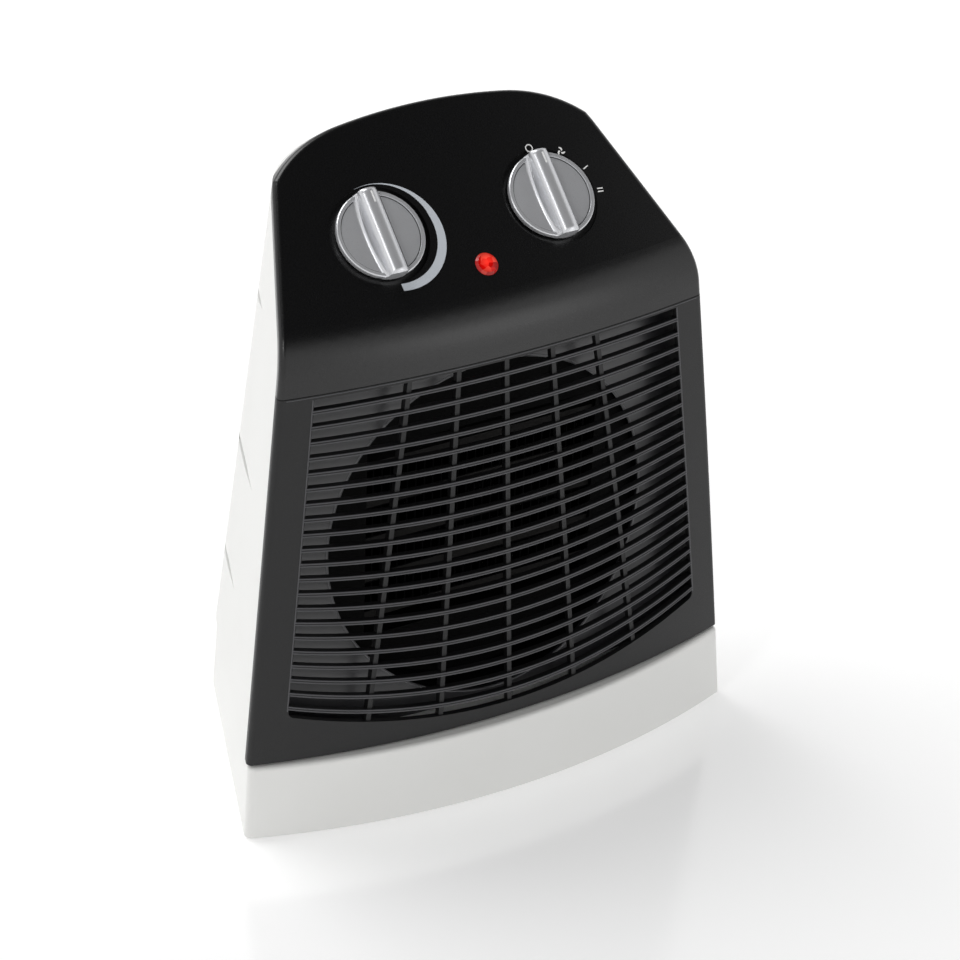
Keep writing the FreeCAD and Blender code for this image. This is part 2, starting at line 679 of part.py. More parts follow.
def base_solid(low, high, inset):
    """The base's plan between two heights; its sides flare towards the floor."""
    wires = []
    for z in (low, high):
        flare = size("base_flare") * z / size("base_height") + inset
        half = size("base_width") / 2 - flare
        front = -size("base_depth") / 2 + flare
        bow = size("base_front_bow") - flare
        side_y = front + bow - math.sqrt(bow ** 2 - half ** 2)
        edges, right, left = tapered_section(
            z, half, side_y, size("side_plan_angle"), size("base_depth") / 2 - flare,
            size("base_corner") - inset, side_y)
        edges.append(Part.Arc(left, Vector(0, front, z), right).toShape())
        wires.append(Part.Wire(edges))
    return Part.makeLoft(wires, True, True)


base_top = size("base_height")
shell = base_solid(size("base_lift"), base_top, 0.0)
corner_edges = [edge for edge in shell.Edges
                if edge.BoundBox.ZLength > 20 and edge.BoundBox.YMax < 0]
shell = shell.makeFillet(3.0, corner_edges)
top_edges = [edge for edge in shell.Edges if edge.BoundBox.ZMin > base_top - 0.01]
shell = shell.makeFillet(size("base_edge_round"), top_edges)
shell = shell.cut(base_solid(0.0, base_top - size("base_wall"), size("base_wall")))
hub = Part.makeCylinder(size("spigot_radius") + 3.5, size("hub_drop"),
                        Vector(0, 0, base_top - size("hub_drop")))
shell = shell.fuse(hub)
shell = shell.cut(Part.makeCylinder(size("spigot_radius") + size("running_clearance"), 60,
                                    Vector(0, 0, -5)))
plate_low = size("base_lift") + 0.6
plate_high = plate_low + size("base_plate_thick")
inset_x = size("base_width") / 2 - size("foot_inset")
foot_front_y = -size("base_depth") / 2 + size("foot_inset") + 12.0
foot_rear_y = size("base_depth") / 2 - size("foot_inset")
foot_rear_x = inset_x - (foot_rear_y - foot_front_y) * tan("side_plan_angle")
foot_spots = [(-inset_x, foot_front_y), (inset_x, foot_front_y),
              (-foot_rear_x, foot_rear_y), (foot_rear_x, foot_rear_y)]
boss_spots = [(x * 0.80, y * 0.72) for x, y in foot_spots]
boss_radius = size("screw_radius") + 2.0
for x, y in boss_spots:
    post = Part.makeCylinder(boss_radius, base_top - 1.0 - plate_high, Vector(x, y, plate_high))
    shell = shell.fuse(post)
    shell = shell.cut(Part.makeCylinder(size("screw_radius"), 12, Vector(x, y, plate_high - 1)))
feature("base_shell", shell.removeSplitter())

plate = base_solid(plate_low, plate_high, size("base_wall") + 0.3)
tip_spot = Vector(-size("tip_side"), -size("tip_front"), 0)
plate = plate.cut(Part.makeCylinder(size("plunger_radius") + 0.8, 20, tip_spot))
for x, y in boss_spots:
    plate = plate.cut(Part.makeCylinder(size("screw_radius") + 0.2, 20, Vector(x, y, -5)))
feature("base_plate", plate)

feet = []
for index, (x, y) in enumerate(foot_spots):
    foot = disc_body(f"foot_{index}", "sizes.foot_radius", "sizes.base_lift + 0.6")
    feet.append(place(foot, Vector(x, y, 0)))
register(group("feet", feet), "rubber_feet")

plate_screws = []
for x, y in boss_spots:
    shank = Part.makeCylinder(size("screw_radius") - size("running_clearance"), plate_high + 8 - plate_low,
                              Vector(x, y, plate_low))
    head = Part.makeCylinder(size("screw_head"), 0.9, Vector(x, y, plate_low - 0.9))
    plate_screws.append(shank.fuse(head).removeSplitter())
feature("base_screws", Part.makeCompound(plate_screws))

ring = disc_body("slide_ring", "sizes.ring_outer", "sizes.head_gap - 0.1", bore="sizes.ring_inner")
register(place(ring, Vector(0, 0, base_top)), "turntable_ring")

# ---------------------------------------------------------------- swing drive

motor_low = plate_high
motor_y = size("crank_offset")
swing_motor = joined("swing_motor_body", [
    tube("swing_motor_can", "sizes.swing_motor_radius", "sizes.swing_motor_tall", bore=None),
    block("swing_motor_ears", "2 * sizes.swing_motor_radius + 14", "9", "1.2", y="-4.5"),
])
swing_bore = tube("swing_motor_bore", "sizes.shaft_radius + sizes.running_clearance",
                  "sizes.swing_motor_tall", z="3")
swing_motor = minus("swing_motor_cut", swing_motor, swing_bore)
swing_motor.Placement = Placement(Vector(0, motor_y, motor_low), Rotation())
register(swing_motor, "swing_motor")

crank_low = arm_low - 1.0 - size("crank_thick")
crank = Part.makeCylinder(crank_throw + 4.0, size("crank_thick"), Vector(0, motor_y, crank_low))
crank = crank.fuse(Part.makeCylinder(size("shaft_radius"), crank_low - motor_low - 4.0,
                                     Vector(0, motor_y, motor_low + 4.0)))
crank = crank.fuse(Part.makeCylinder(size("crank_pin_radius"), size("crank_thick") + size("arm_thick"),
                                     Vector(0, motor_y + crank_throw, crank_low)))
feature("swing_crank", crank.removeSplitter())

# Tip-over switch: its plunger is pressed in by the floor and drops when the heater falls.
switch_low = plate_high + 0.4
switch_body = block("tip_switch_box", "sizes.tip_switch_wide", "sizes.tip_switch_deep",
                    "sizes.tip_switch_tall")
switch_bore = tube("tip_switch_bore", "sizes.plunger_radius + sizes.running_clearance",
                   "sizes.tip_switch_tall - 2", y="sizes.tip_switch_deep / 2")
tip_switch = minus("tip_switch_cut", switch_body, switch_bore)
tip_switch.Placement = Placement(
    Vector(tip_spot.x, tip_spot.y - size("tip_switch_deep") / 2, switch_low), Rotation())
register(tip_switch, "tip_switch")
plunger = turned_body("plunger_rod", [
    ("0", "0"), ("sizes.plunger_radius - 0.6", "0"), ("sizes.plunger_radius", "0.6"),
    ("sizes.plunger_radius", "sizes.plunger_long"), ("0", "sizes.plunger_long")])
register(place(plunger, tip_spot), "tip_plunger")

# ---------------------------------------------------------------- knobs, switches, lamp

def knob(label, spot):
    """A bevelled disc with a full-width half-round grip and a flute beside it."""
    low = -size("recess_deep") + size("knob_lift")
    radius = size("knob_radius")
    disc_top, top = low + size("knob_disc_tall"), low + size("knob_tall")
    disc = Part.makeCylinder(radius, disc_top - low, Vector(0, 0, low))
    rims = [edge for edge in disc.Edges if edge.BoundBox.ZMin > disc_top - 0.01]
    disc = disc.makeFillet(size("knob_rim_round"), rims)
    half, reach = size("grip_bar_half"), radius + size("grip_overhang")
    foot, shoulder = low + 0.4, disc_top + size("grip_shoulder")
    spots = [Vector(-half, -reach, shoulder), Vector(-half, -reach, foot),
             Vector(half, -reach, foot), Vector(half, -reach, shoulder)]
    crown = Part.Arc(spots[3], Vector(0, -reach, top), spots[0]).toShape()
    outline = [Part.makeLine(a, b) for a, b in zip(spots, spots[1:])] + [crown]
    grip = Part.Face(Part.Wire(outline)).extrude(Vector(0, 2 * reach, 0))
    grip = grip.common(Part.makeCylinder(reach, 4 * radius, Vector(0, 0, -radius)))
    flute_z = disc_top + size("flute_bow") - size("flute_deep")
    flute = Part.makeCylinder(size("flute_bow"), 4 * radius,
                              Vector(-size("flute_side"), -2 * radius, flute_z), Vector(0, 1, 0))
    beside = Part.makeBox(radius, 4 * radius, 4 * radius, Vector(-radius - half, -2 * radius, -radius))
    body = disc.cut(flute.common(beside)).fuse(grip)
    body = body.cut(Part.makeCylinder(size("shaft_radius"), size("knob_tall") * 0.6, Vector(0, 0, low)))
    pointer = Part.makeBox(size("pointer_wide"), size("pointer_long"), radius, Vector(
        -size("pointer_wide") / 2, size("pointer_start"), top - size("pointer_deep")))
    return feature(label, body.cut(pointer).removeSplitter(), spot)


for name, spot in knob_spots.items():
    knob(f"{name}_knob", spot)
    deep = "sizes.control_deep" if name == "thermostat" else "sizes.control_deep + 3"
    box = block(f"{name}_box", "sizes.control_wide", "sizes.control_tall", deep,
                y="-sizes.control_tall / 2", z=f"-sizes.boss_deep - sizes.body_gap - ({deep})")
    bore = tube(f"{name}_bore", "sizes.shaft_radius + sizes.running_clearance",
                "sizes.shaft_in_body + 1", z="-sizes.boss_deep - sizes.body_gap - sizes.shaft_in_body - 1")
    body = minus(f"{name}_cut", box, bore)
    body.Placement = spot
    register(body, f"{name}_body" if name == "thermostat" else "selector_switch")
    shaft = disc_body(f"{name}_rod", "sizes.shaft_radius",
                      "sizes.boss_deep + sizes.shaft_in_body - sizes.recess_deep + sizes.knob_lift"
                      " + sizes.shaft_in_knob", lift="-sizes.boss_deep - sizes.shaft_in_body")
    shaft.Placement = spot
    register(shaft, f"{name}_shaft")

lens = turned_body("lens_body", [
    ("0", "0"), ("sizes.lens_radius", "0"), ("sizes.lens_radius", "sizes.boss_deep"),
    ("sizes.lens_radius * 0.82", "sizes.boss_deep + sizes.lens_proud * 0.75"),
    ("sizes.lens_radius * 0.45", "sizes.boss_deep + sizes.lens_proud"),
    ("0", "sizes.boss_deep + sizes.lens_proud")])
lens.Placement = lens_spot.multiply(Placement(Vector(0, 0, -size("boss_deep")), Rotation()))
register(lens, "indicator_lens")
lamp = turned_body("lamp_body", [
    ("0", "0"), ("3.4", "0"), ("3.4", "6"), ("2.4", "6"), ("2.4", "13"), ("0", "13")])
lamp.Placement = lens_spot.multiply(Placement(Vector(0, 0, -size("boss_deep") - 13.3), Rotation()))
register(lamp, "neon_lamp")

# ---------------------------------------------------------------- air path

air = size("air_height")


def along_y(radius, start, end, bore=0.0, x=0.0, z=None):
    centre = Vector(x, start, air if z is None else z)
    bar = Part.makeCylinder(radius, end - start, centre, Vector(0, 1, 0))
    if bore:
        bar = bar.cut(Part.makeCylinder(bore, end - start, centre, Vector(0, 1, 0)))
    return bar


set_back = size("shield_set_back")
shield = front_block(set_back).cut(front_block(set_back + size("shield_thick")))
shield = shield.common(envelope(size("wall") + 0.05))
shield = shield.common(slab(floor_top, size("seam_height") - 1.0))
shield = shield.cut(along_y(size("duct_radius"), -beyond, beyond))
feature("heat_shield", shield.removeSplitter())

duct_front = front_y(air, set_back + size("shield_thick")) + 0.1
duct_zone = front_block(set_back + size("shield_thick") + 0.1)
duct = along_y(size("duct_radius") + size("duct_wall"), -beyond, size("duct_rear"),
               bore=size("duct_radius")).common(duct_zone)
feature("duct_ring", duct)

heater_back = size("heater_front") + size("heater_thick")
window_wide, window_tall = size("heater_wide"), size("heater_tall")
frame = along_y(size("duct_radius") - 0.1, size("heater_front"), heater_back)
frame = frame.cut(Part.makeBox(
    window_wide, 60, window_tall, Vector(-window_wide / 2, size("heater_front") - 10, air - window_tall / 2)))
feature("heater_frame", frame)

rows = int(size("element_rows"))
row_step = window_tall / rows
element_deep = size("heater_thick") - 2 * size("element_inset")
comb_tall, thin = row_step - size("bar_tall"), size("fin_thick")
cells = int(window_wide / size("fin_cell"))
cell_pitch = (window_wide - thin) / cells


def element_block(wide, deep, tall, x, z):
    """A block of the element, centred front to back in its frame."""
    middle_y = size("heater_front") + size("heater_thick") / 2
    return Part.makeBox(wide, deep, tall, Vector(x, middle_y - deep / 2, z))


bars = []
combs = []
for row in range(rows):
    low = air - window_tall / 2 + (row + 0.5) * row_step - size("bar_tall") / 2
    bars.append(element_block(window_wide, element_deep, size("bar_tall"), -window_wide / 2, low))
for row in range(rows - 1):
    low = air - window_tall / 2 + (row + 0.5) * row_step + size("bar_tall") / 2
    comb = element_block(window_wide, element_deep, comb_tall, -window_wide / 2, low)
    holes = [element_block(cell_pitch - thin, 60, comb_tall - 2 * thin,
                           -window_wide / 2 + thin + step * cell_pitch, low + thin)
             for step in range(cells)]
    combs.append(comb.cut(Part.makeCompound(holes)))
feature("ceramic_bars", Part.makeCompound(bars))
feature("heater_fins", Part.makeCompound(combs))

cutout = turned_body("cutout_can", [
    ("0", "0"), ("8", "0"), ("8", "5"), ("6", "5"), ("6", "9"), ("0", "9")])
register(place(cutout, Vector(-22, heater_back + 0.2, air + window_tall / 2 + 9), BACKWARDS),
         "thermal_cutout")
fuse_body = turned_body("fuse_can", [("0", "0"), ("2", "0"), ("2", "11"), ("0", "11")])
register(place(fuse_body, Vector(10, heater_back + 2.2, air + window_tall / 2 + 8),
               Rotation(Vector(0, 1, 0), 90)), "thermal_fuse")

# ---------------------------------------------------------------- fan


def blade_section(radius, chord, pitch):
    """One thin blade section square to the radius, set at its pitch."""
    lean = math.radians(pitch)
    along = Vector(math.cos(lean), math.sin(lean), 0)
    across = Vector(-math.sin(lean), math.cos(lean), 0)
    centre = Vector(0, size("hub_front") + size("hub_long") / 2, radius)
    half, thick = chord / 2, size("blade_thick") / 2
    spots = [centre - along * half - across * thick, centre + along * half - across * thick,
             centre + along * half + across * thick, centre - along * half + across * thick]
    return Part.makePolygon(spots + spots[:1])


fan_centre = Vector(0, 0, air)
blade = Part.makeLoft([blade_section(size("hub_radius") - 1.5, 22, 34),
                       blade_section(size("fan_radius") * 0.65, 34, 27),
                       blade_section(size("fan_radius") - 1.0, 40, 20)], True, True)


def about_origin(radius, start, long):
    return Part.makeCylinder(radius, long, Vector(0, start, 0), Vector(0, 1, 0))


blade = blade.common(about_origin(size("fan_radius"), -beyond, 2 * beyond))
impeller = about_origin(size("hub_radius"), size("hub_front"), size("hub_long"))
nose = [edge for edge in impeller.Edges if edge.BoundBox.YMax < size("hub_front") + 0.01]
impeller = impeller.makeFillet(4.0, nose)
blades = []
for step in range(int(size("blade_count"))):
    turned = blade.copy()
    turned.rotate(Vector(), Vector(0, 1, 0), step * 360.0 / size("blade_count"))
    blades.append(turned)
impeller = impeller.fuse(blades)
impeller = impeller.cut(about_origin(size("spindle_radius"), -beyond, 2 * beyond))
impeller.translate(fan_centre)
feature("fan_impeller", impeller.removeSplitter())

core_back = size("core_front") + size("core_thick")
spindle_front = size("hub_front") - 5.0
spindle = disc_body("spindle", "sizes.spindle_radius",
                    "sizes.core_front + sizes.core_thick + 17 - sizes.hub_front")
register(place(spindle, Vector(0, spindle_front, air), BACKWARDS), "motor_shaft")
rotor = disc_body("rotor_drum", "sizes.rotor_radius", "sizes.core_thick + 2", bore="sizes.spindle_radius")
register(place(rotor, Vector(0, size("core_front") - 1, air), BACKWARDS), "motor_rotor")
cap = disc_body("spinner", "sizes.spindle_radius + 2.5", "3.5", bore="sizes.spindle_radius")
register(place(cap, Vector(0, size("hub_front") - 3.6, air), BACKWARDS), "fan_clip")

# ---------------------------------------------------------------- fan motor

core_wide, core_tall = size("core_wide"), size("core_tall")
bore_radius = size("rotor_radius") + size("air_gap")
core_low = air - bore_radius - (core_tall - 2 * bore_radius) * 0.85
core = Part.makeBox(core_wide, size("core_thick"), core_tall,
                    Vector(-core_wide / 2, size("core_front"), core_low))
core = core.cut(along_y(bore_radius, -beyond, beyond))
limb_wide, rim = size("limb_wide"), size("core_rim")
window_low = core_low + size("yoke_tall")
window_high = air - size("rotor_radius") - 7.0
for side in (-1, 1):
    left = -core_wide / 2 + rim if side < 0 else limb_wide / 2
    wide = core_wide / 2 - rim - limb_wide / 2
    core = core.cut(Part.makeBox(wide, 60, window_high - window_low, Vector(left, 0, window_low)))
feature("stator_core", core)
coil_half = core_wide / 2 - rim - 0.6
over = size("coil_overhang")
coil = Part.makeBox(2 * coil_half, size("core_thick") + 2 * over, window_high - window_low - 1,
                    Vector(-coil_half, size("core_front") - over, window_low + 0.5))
coil = coil.cut(Part.makeBox(limb_wide + 0.2, size("core_thick") + 0.2, 60,
                             Vector(-limb_wide / 2 - 0.1, size("core_front") - 0.1, window_low - 10)))
round_edges = [edge for edge in coil.Edges if edge.BoundBox.ZLength > 5
               and (edge.BoundBox.YMax < size("core_front") - over + 1
                    or edge.BoundBox.YMin > core_back + over - 1)]
coil = coil.makeFillet(3.0, round_edges)
feature("motor_coil", coil)

bracket_half = core_wide / 2 - size("bracket_inset")


def bracket(label, face_y, outward):
    """A bent strip across the core that carries a bush on the motor's axis."""
    thick = size("bracket_thick")
    stand, tall = size("bracket_stand"), size("bracket_tall")
    far = face_y + outward * stand
    strip_low = min(far, far - outward * thick)
    strip = Part.makeBox(2 * bracket_half, thick, tall, Vector(-bracket_half, strip_low, air - tall / 2))
    legs = []
    for side in (-1, 1):
        x = side * bracket_half - (thick if side > 0 else 0)
        legs.append(Part.makeBox(thick, stand, tall, Vector(x, min(face_y, far), air - tall / 2)))
    solid = strip.fuse(legs)
    solid = solid.cut(along_y(size("bush_radius"), -beyond, beyond))
    return feature(label, solid.removeSplitter())


bracket("front_bracket", size("core_front"), -1)
bracket("rear_bracket", core_back, 1)
bush_section = ("sizes.bush_radius", "sizes.bush_long", "sizes.spindle_radius + sizes.running_clearance")
front_bush_y = size("core_front") - size("bracket_stand") - size("bracket_thick")
rear_bush_y = core_back + size("bracket_stand") + size("bracket_thick") - size("bush_long")
for label, start in (("front_bush", front_bush_y), ("rear_bush", rear_bush_y)):
    bush = disc_body(f"{label}_ring", bush_section[0], bush_section[1], bore=bush_section[2])
    register(place(bush, Vector(0, start, air), BACKWARDS), label)

mount_front = size("duct_rear") + 0.1
mount = along_y(size("duct_radius") + size("duct_wall"), mount_front, mount_front + size("mount_thick"),
                bore=size("duct_radius") - 5.0)
mount = mount.common(envelope(size("wall") + 0.2))
arm_reach = size("duct_radius") - 3.0
band = size("mount_band")
strut = Part.makeBox(2 * arm_reach, size("mount_thick"), band,
                     Vector(-arm_reach, mount_front, air - band / 2))
mount = mount.fuse(strut)
for side in (-1, 1):
    x = side * (core_wide / 2 - 1.5) - 2.0
    post = Part.makeBox(4, size("core_front") - mount_front, band, Vector(x, mount_front, air - band / 2))
    mount = mount.fuse(post)
opening = Part.makeBox(2 * bracket_half + 0.6, 60, 20, Vector(-bracket_half - 0.3, mount_front - 5, air - 10))
mount = mount.cut(opening)
ring_strip = Part.makeBox(2 * bracket_half + 8, size("mount_thick"), 6,
                          Vector(-bracket_half - 4, mount_front, air + 10.2))
low_strip = ring_strip.translated(Vector(0, 0, -26.4))
uprights = [Part.makeBox(5, size("mount_thick"), 27, Vector(x, mount_front, air - 13.5))
            for x in (-bracket_half - 5.3, bracket_half + 0.3)]
mount = mount.fuse([ring_strip, low_strip] + uprights)
feature("motor_mount", mount.removeSplitter())

# ---------------------------------------------------------------- wiring entry and fastenings



def into_rear(spot, deep):
    """Square to the leaning back, with its origin some way under the surface."""
    return Placement(spot, gland_axis).multiply(Placement(Vector(0, 0, -deep), Rotation()))


gland = turned_body("gland_bush", [
    ("0", "0"), ("sizes.gland_radius", "0"), ("sizes.gland_radius", "4.4"),
    ("sizes.gland_radius + 2", "4.4"), ("sizes.gland_radius + 1.2", "7"), ("0", "7")])
gland_bore = tube("gland_bore", "3.6", "20", z="-5")
gland_ring = minus("gland_hollow", gland, gland_bore)
gland_ring.Placement = into_rear(gland_spot, size("gland_deep"))
register(gland_ring, "cord_gland")

button = turned_body("button_cap", [
    ("0", "0"), ("sizes.button_radius - 1.6", "0"), ("sizes.button_radius - 1.6", "6"),
    ("sizes.button_radius", "6"), ("sizes.button_radius", "11.4"), ("sizes.button_radius - 0.6", "12"),
    ("0", "12")])
button.Placement = into_rear(button_spot, size("button_deep"))
register(button, "swing_button")
button_box = block("button_box", "15", "11", "9", y="-5.5")
button_well = tube("button_well", "sizes.button_radius - 1.6 + sizes.running_clearance", "8", z="2.5")
button_body = minus("button_body", button_box, button_well)
button_body.Placement = into_rear(button_spot, size("button_body_deep"))
register(button_body, "swing_switch")

terminals = block("terminal_strip", "34", "12", "10", x="-3", y="32",
                  z="sizes.base_height + sizes.head_gap + sizes.wall")
register(terminals, "terminal_block")

casing_screws = []
for spot in screw_spots:
    head = square_to_rear(size("screw_head"), -size("screw_sink"), 0.0, spot)
    shank = square_to_rear(size("screw_radius"), -size("casing_screw_long"), -size("screw_sink"), spot)
    casing_screws.append(head.fuse(shank).removeSplitter())
feature("casing_screws", Part.makeCompound(casing_screws))

doc.recompute()

# ---------------------------------------------------------------- checks and export

for obj in doc.Objects:
    if "Invalid" in obj.State or "Error" in obj.State:
        raise RuntimeError(f"{obj.Name} did not build: {obj.State}")
os.makedirs("parts", exist_ok=True)
names = set()
for obj in parts:
    shape = obj.Shape
    if shape.isNull() or not shape.isValid() or not shape.Solids:
        raise RuntimeError(f"{obj.Label} has no valid solid")
    if obj.Label in names:
        raise RuntimeError(f"{obj.Label} is used twice")
    names.add(obj.Label)
    shape.exportStep(f"parts/{obj.Label}.step")
    print(f"{obj.Label:20s} solids {len(shape.Solids):3d} volume {shape.Volume / 1000:9.2f} cm3")
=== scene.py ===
import json
import math

import bmesh
import bpy
from mathutils import Matrix, Vector
from mathutils.bvhtree import BVHTree


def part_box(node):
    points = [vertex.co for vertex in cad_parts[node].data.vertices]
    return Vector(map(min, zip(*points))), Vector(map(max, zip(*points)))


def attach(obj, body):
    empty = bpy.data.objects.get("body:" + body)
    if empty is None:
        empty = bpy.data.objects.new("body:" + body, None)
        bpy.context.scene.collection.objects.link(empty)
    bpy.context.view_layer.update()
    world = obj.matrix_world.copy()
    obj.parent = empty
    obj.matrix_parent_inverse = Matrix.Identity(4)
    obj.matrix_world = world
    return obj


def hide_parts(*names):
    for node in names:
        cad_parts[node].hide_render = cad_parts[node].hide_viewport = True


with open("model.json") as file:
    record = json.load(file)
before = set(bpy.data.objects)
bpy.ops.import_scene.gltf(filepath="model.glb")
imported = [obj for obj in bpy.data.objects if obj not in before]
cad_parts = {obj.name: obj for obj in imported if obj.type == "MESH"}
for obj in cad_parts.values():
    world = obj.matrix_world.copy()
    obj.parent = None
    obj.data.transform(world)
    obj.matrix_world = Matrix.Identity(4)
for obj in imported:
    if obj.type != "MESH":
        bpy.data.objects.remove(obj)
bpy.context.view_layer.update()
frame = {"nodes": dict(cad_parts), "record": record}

scene = bpy.context.scene
MM = 0.001

# ------------------------------------------------------------------ studio
# A seamless white table, a white tent, three soft lamps and the camera.
# The table is sealed white laminate, pressed smooth.


def linear(hex_code):
    """An sRGB hex colour as the linear RGBA that shaders take."""
    channels = [int(hex_code[i:i + 2], 16) / 255 for i in (1, 3, 5)]
    return [c / 12.92 if c <= 0.04045 else ((c + 0.055) / 1.055) ** 2.4 for c in channels] + [1.0]


def add(tree, kind, inputs=None, **settings):
    """Adds one node; an input is a value, or a socket to link from."""
    item = tree.nodes.new(kind)
    for name, value in settings.items():
        setattr(item, name, value)
    for name, value in (inputs or {}).items():
        if isinstance(value, bpy.types.NodeSocket):
            tree.links.new(value, item.inputs[name])
        else:
            item.inputs[name].default_value = value
    return item


def new_material(name, **shader):
    """A material with one principled shader; keyword names use _ for spaces."""
    material = bpy.data.materials.new(name)
    material.use_nodes = True
    tree = material.node_tree
    principled = tree.nodes["Principled BSDF"]
    for key, value in shader.items():
        principled.inputs[key.replace("_", " ")].default_value = value
    return material, tree, principled


def grain(tree, principled, size_mm, depth_mm, rough_low, rough_high, strength=1.0):
    """Fine moulded or blasted grain: bump and roughness that vary together."""
    place = add(tree, "ShaderNodeTexCoord").outputs["Object"]
    speckle = add(tree, "ShaderNodeTexNoise",
                  {"Vector": place, "Scale": 1 / (size_mm * MM), "Detail": 3.0, "Roughness": 0.6})
    spread = add(tree, "ShaderNodeMapRange",
                 {"Value": speckle.outputs["Fac"], "From Min": 0.3, "From Max": 0.7,
                  "To Min": rough_low, "To Max": rough_high})
    tree.links.new(spread.outputs["Result"], principled.inputs["Roughness"])
    bump = add(tree, "ShaderNodeBump",
               {"Height": speckle.outputs["Fac"], "Distance": depth_mm * MM, "Strength": strength})
    tree.links.new(bump.outputs["Normal"], principled.inputs["Normal"])
    return place, speckle


def mottle(tree, principled, place, pale, deep, size_mm):
    """Slow colour drift from flow and handling."""
    cloud = add(tree, "ShaderNodeTexNoise",
                {"Vector": place, "Scale": 1 / (size_mm * MM), "Detail": 4.0, "Roughness": 0.55})
    blend = add(tree, "ShaderNodeMix",
                {"Factor": cloud.outputs["Fac"], "A": linear(deep), "B": linear(pale)},
                data_type="RGBA")
    tree.links.new(blend.outputs["Result"], principled.inputs["Base Color"])
    return blend


# Sealed and smooth, so it gives a faint, blurred mirror image of what stands on it.
# A little light of its own keeps it pale out to the edges.
TABLE_GLOW, TABLE_HALF = 0.30, 9.0
laminate, tree, shader = new_material("white laminate", IOR=1.40, Metallic=0.10)
grain(tree, shader, 60.0, 0.0004, 0.13, 0.19)
shader.inputs["Base Color"].default_value = linear("#F8F8F8")
shader.inputs["Emission Color"].default_value = linear("#FFFFFF")
shader.inputs["Emission Strength"].default_value = TABLE_GLOW
table = bpy.data.meshes.new("table_top")
corners = [(x * TABLE_HALF, y * TABLE_HALF, 0) for x, y in ((-1, -1), (1, -1), (1, 1), (-1, 1))]
table.from_pydata(corners, [], [(0, 1, 2, 3)])
table.materials.append(laminate)
table_top = bpy.data.objects.new("table_top", table)
scene.collection.objects.link(table_top)

# The room is a white tent that turns dark above, so sloping fronts reflect little.
TENT_GLOW, TENT_WHITE_TO, TENT_DARK_FROM = 0.89, 0.50, 0.72
world = bpy.data.worlds.new("tent")
world.use_nodes = True
room = world.node_tree
heights = add(room, "ShaderNodeSeparateXYZ", {"Vector": add(room, "ShaderNodeTexCoord").outputs["Generated"]})
tent = add(room, "ShaderNodeValToRGB", {"Fac": heights.outputs["Z"]})
tent.color_ramp.interpolation = "EASE"
tent.color_ramp.elements[0].position = TENT_WHITE_TO
tent.color_ramp.elements[0].color = linear("#FFFFFF")
tent.color_ramp.elements[1].position = TENT_DARK_FROM
tent.color_ramp.elements[1].color = linear("#3C3C3C")
room.links.new(tent.outputs["Color"], room.nodes["Background"].inputs["Color"])
room.nodes["Background"].inputs["Strength"].default_value = TENT_GLOW
scene.world = world
scene.view_settings.view_transform = "Standard"


def soft_lamp(name, spot, aim, size, power):
    """A square softbox that points at a place."""
    lamp = bpy.data.lights.new(name, "AREA")
    lamp.shape = "SQUARE"
    lamp.size = size
    lamp.energy = power
    holder = bpy.data.objects.new(name, lamp)
    holder.location = spot
    holder.rotation_euler = (Vector(aim) - Vector(spot)).to_track_quat("-Z", "Y").to_euler()
    scene.collection.objects.link(holder)
    return holder


# One lamp overhead from behind, a small one that draws the lines on the knobs, and a weak fill.
LOW_AIM, MIDDLE_AIM = (0, 0, 0.1), (0, 0, 0.15)
soft_lamp("overhead_softbox", (-0.5, 1.0, 2.0), LOW_AIM, size=1.4, power=26)
soft_lamp("left_softbox", (-1.5, -0.7, 1.65), MIDDLE_AIM, size=0.3, power=4.5)
soft_lamp("front_fill", (1.0, -2.0, 0.5), LOW_AIM, size=0.9, power=3)

# The lens looks down at thirty degrees from the front left.
LENS_SPOT = Vector((-0.6232, -1.0423, 0.8198))
VIEW_TURN, VIEW_DROP, VIEW_ROLL = 31.77, 30.54, 2.18
LENS_LENGTH, SENSOR_WIDTH = 135.68, 36.0
turn, drop, roll = (math.radians(a) for a in (VIEW_TURN, VIEW_DROP, VIEW_ROLL))
look = Vector((math.sin(turn) * math.cos(drop), math.cos(turn) * math.cos(drop), -math.sin(drop)))
level = Vector((math.cos(turn), -math.sin(turn), 0))
upright = level.cross(look)
right = level * math.cos(roll) + upright * math.sin(roll)
above = upright * math.cos(roll) - level * math.sin(roll)
lens_data = bpy.data.cameras.new("camera")
lens_data.sensor_width = SENSOR_WIDTH
lens_data.lens = LENS_LENGTH
camera = bpy.data.objects.new("camera", lens_data)
camera.matrix_world = Matrix.Translation(LENS_SPOT) @ Matrix((right, above, -look)).transposed().to_4x4()
scene.collection.objects.link(camera)
scene.camera = camera

# ------------------------------------------------------------------ base
# Low housing that the head swings on, with a closing plate and four feet.
# Injection-moulded white ABS: a soft satin skin with hardly visible grain.


def dress(material, *nodes):
    """Gives carried-over CAD nodes their finish."""
    for name in nodes:
        mesh = frame["nodes"][name].data
        mesh.materials.clear()
        mesh.materials.append(material)


# Satin moulding: broad soft highlights and hardly any grain.
white_abs, tree, shader = new_material("white ABS, moulded satin", IOR=1.53)
place, _ = grain(tree, shader, 0.35, 0.012, 0.34, 0.44)
mottle(tree, shader, place, "#E9E9E7", "#E4E4E1", 45.0)
dress(white_abs, "base_shell")

# Waxy and duller than the housing above it.
grey_pp, tree, shader = new_material("grey polypropylene, moulded", IOR=1.49)
place, _ = grain(tree, shader, 0.5, 0.03, 0.5, 0.62)
mottle(tree, shader, place, "#6B6C6E", "#606163", 30.0)
dress(grey_pp, "base_plate")

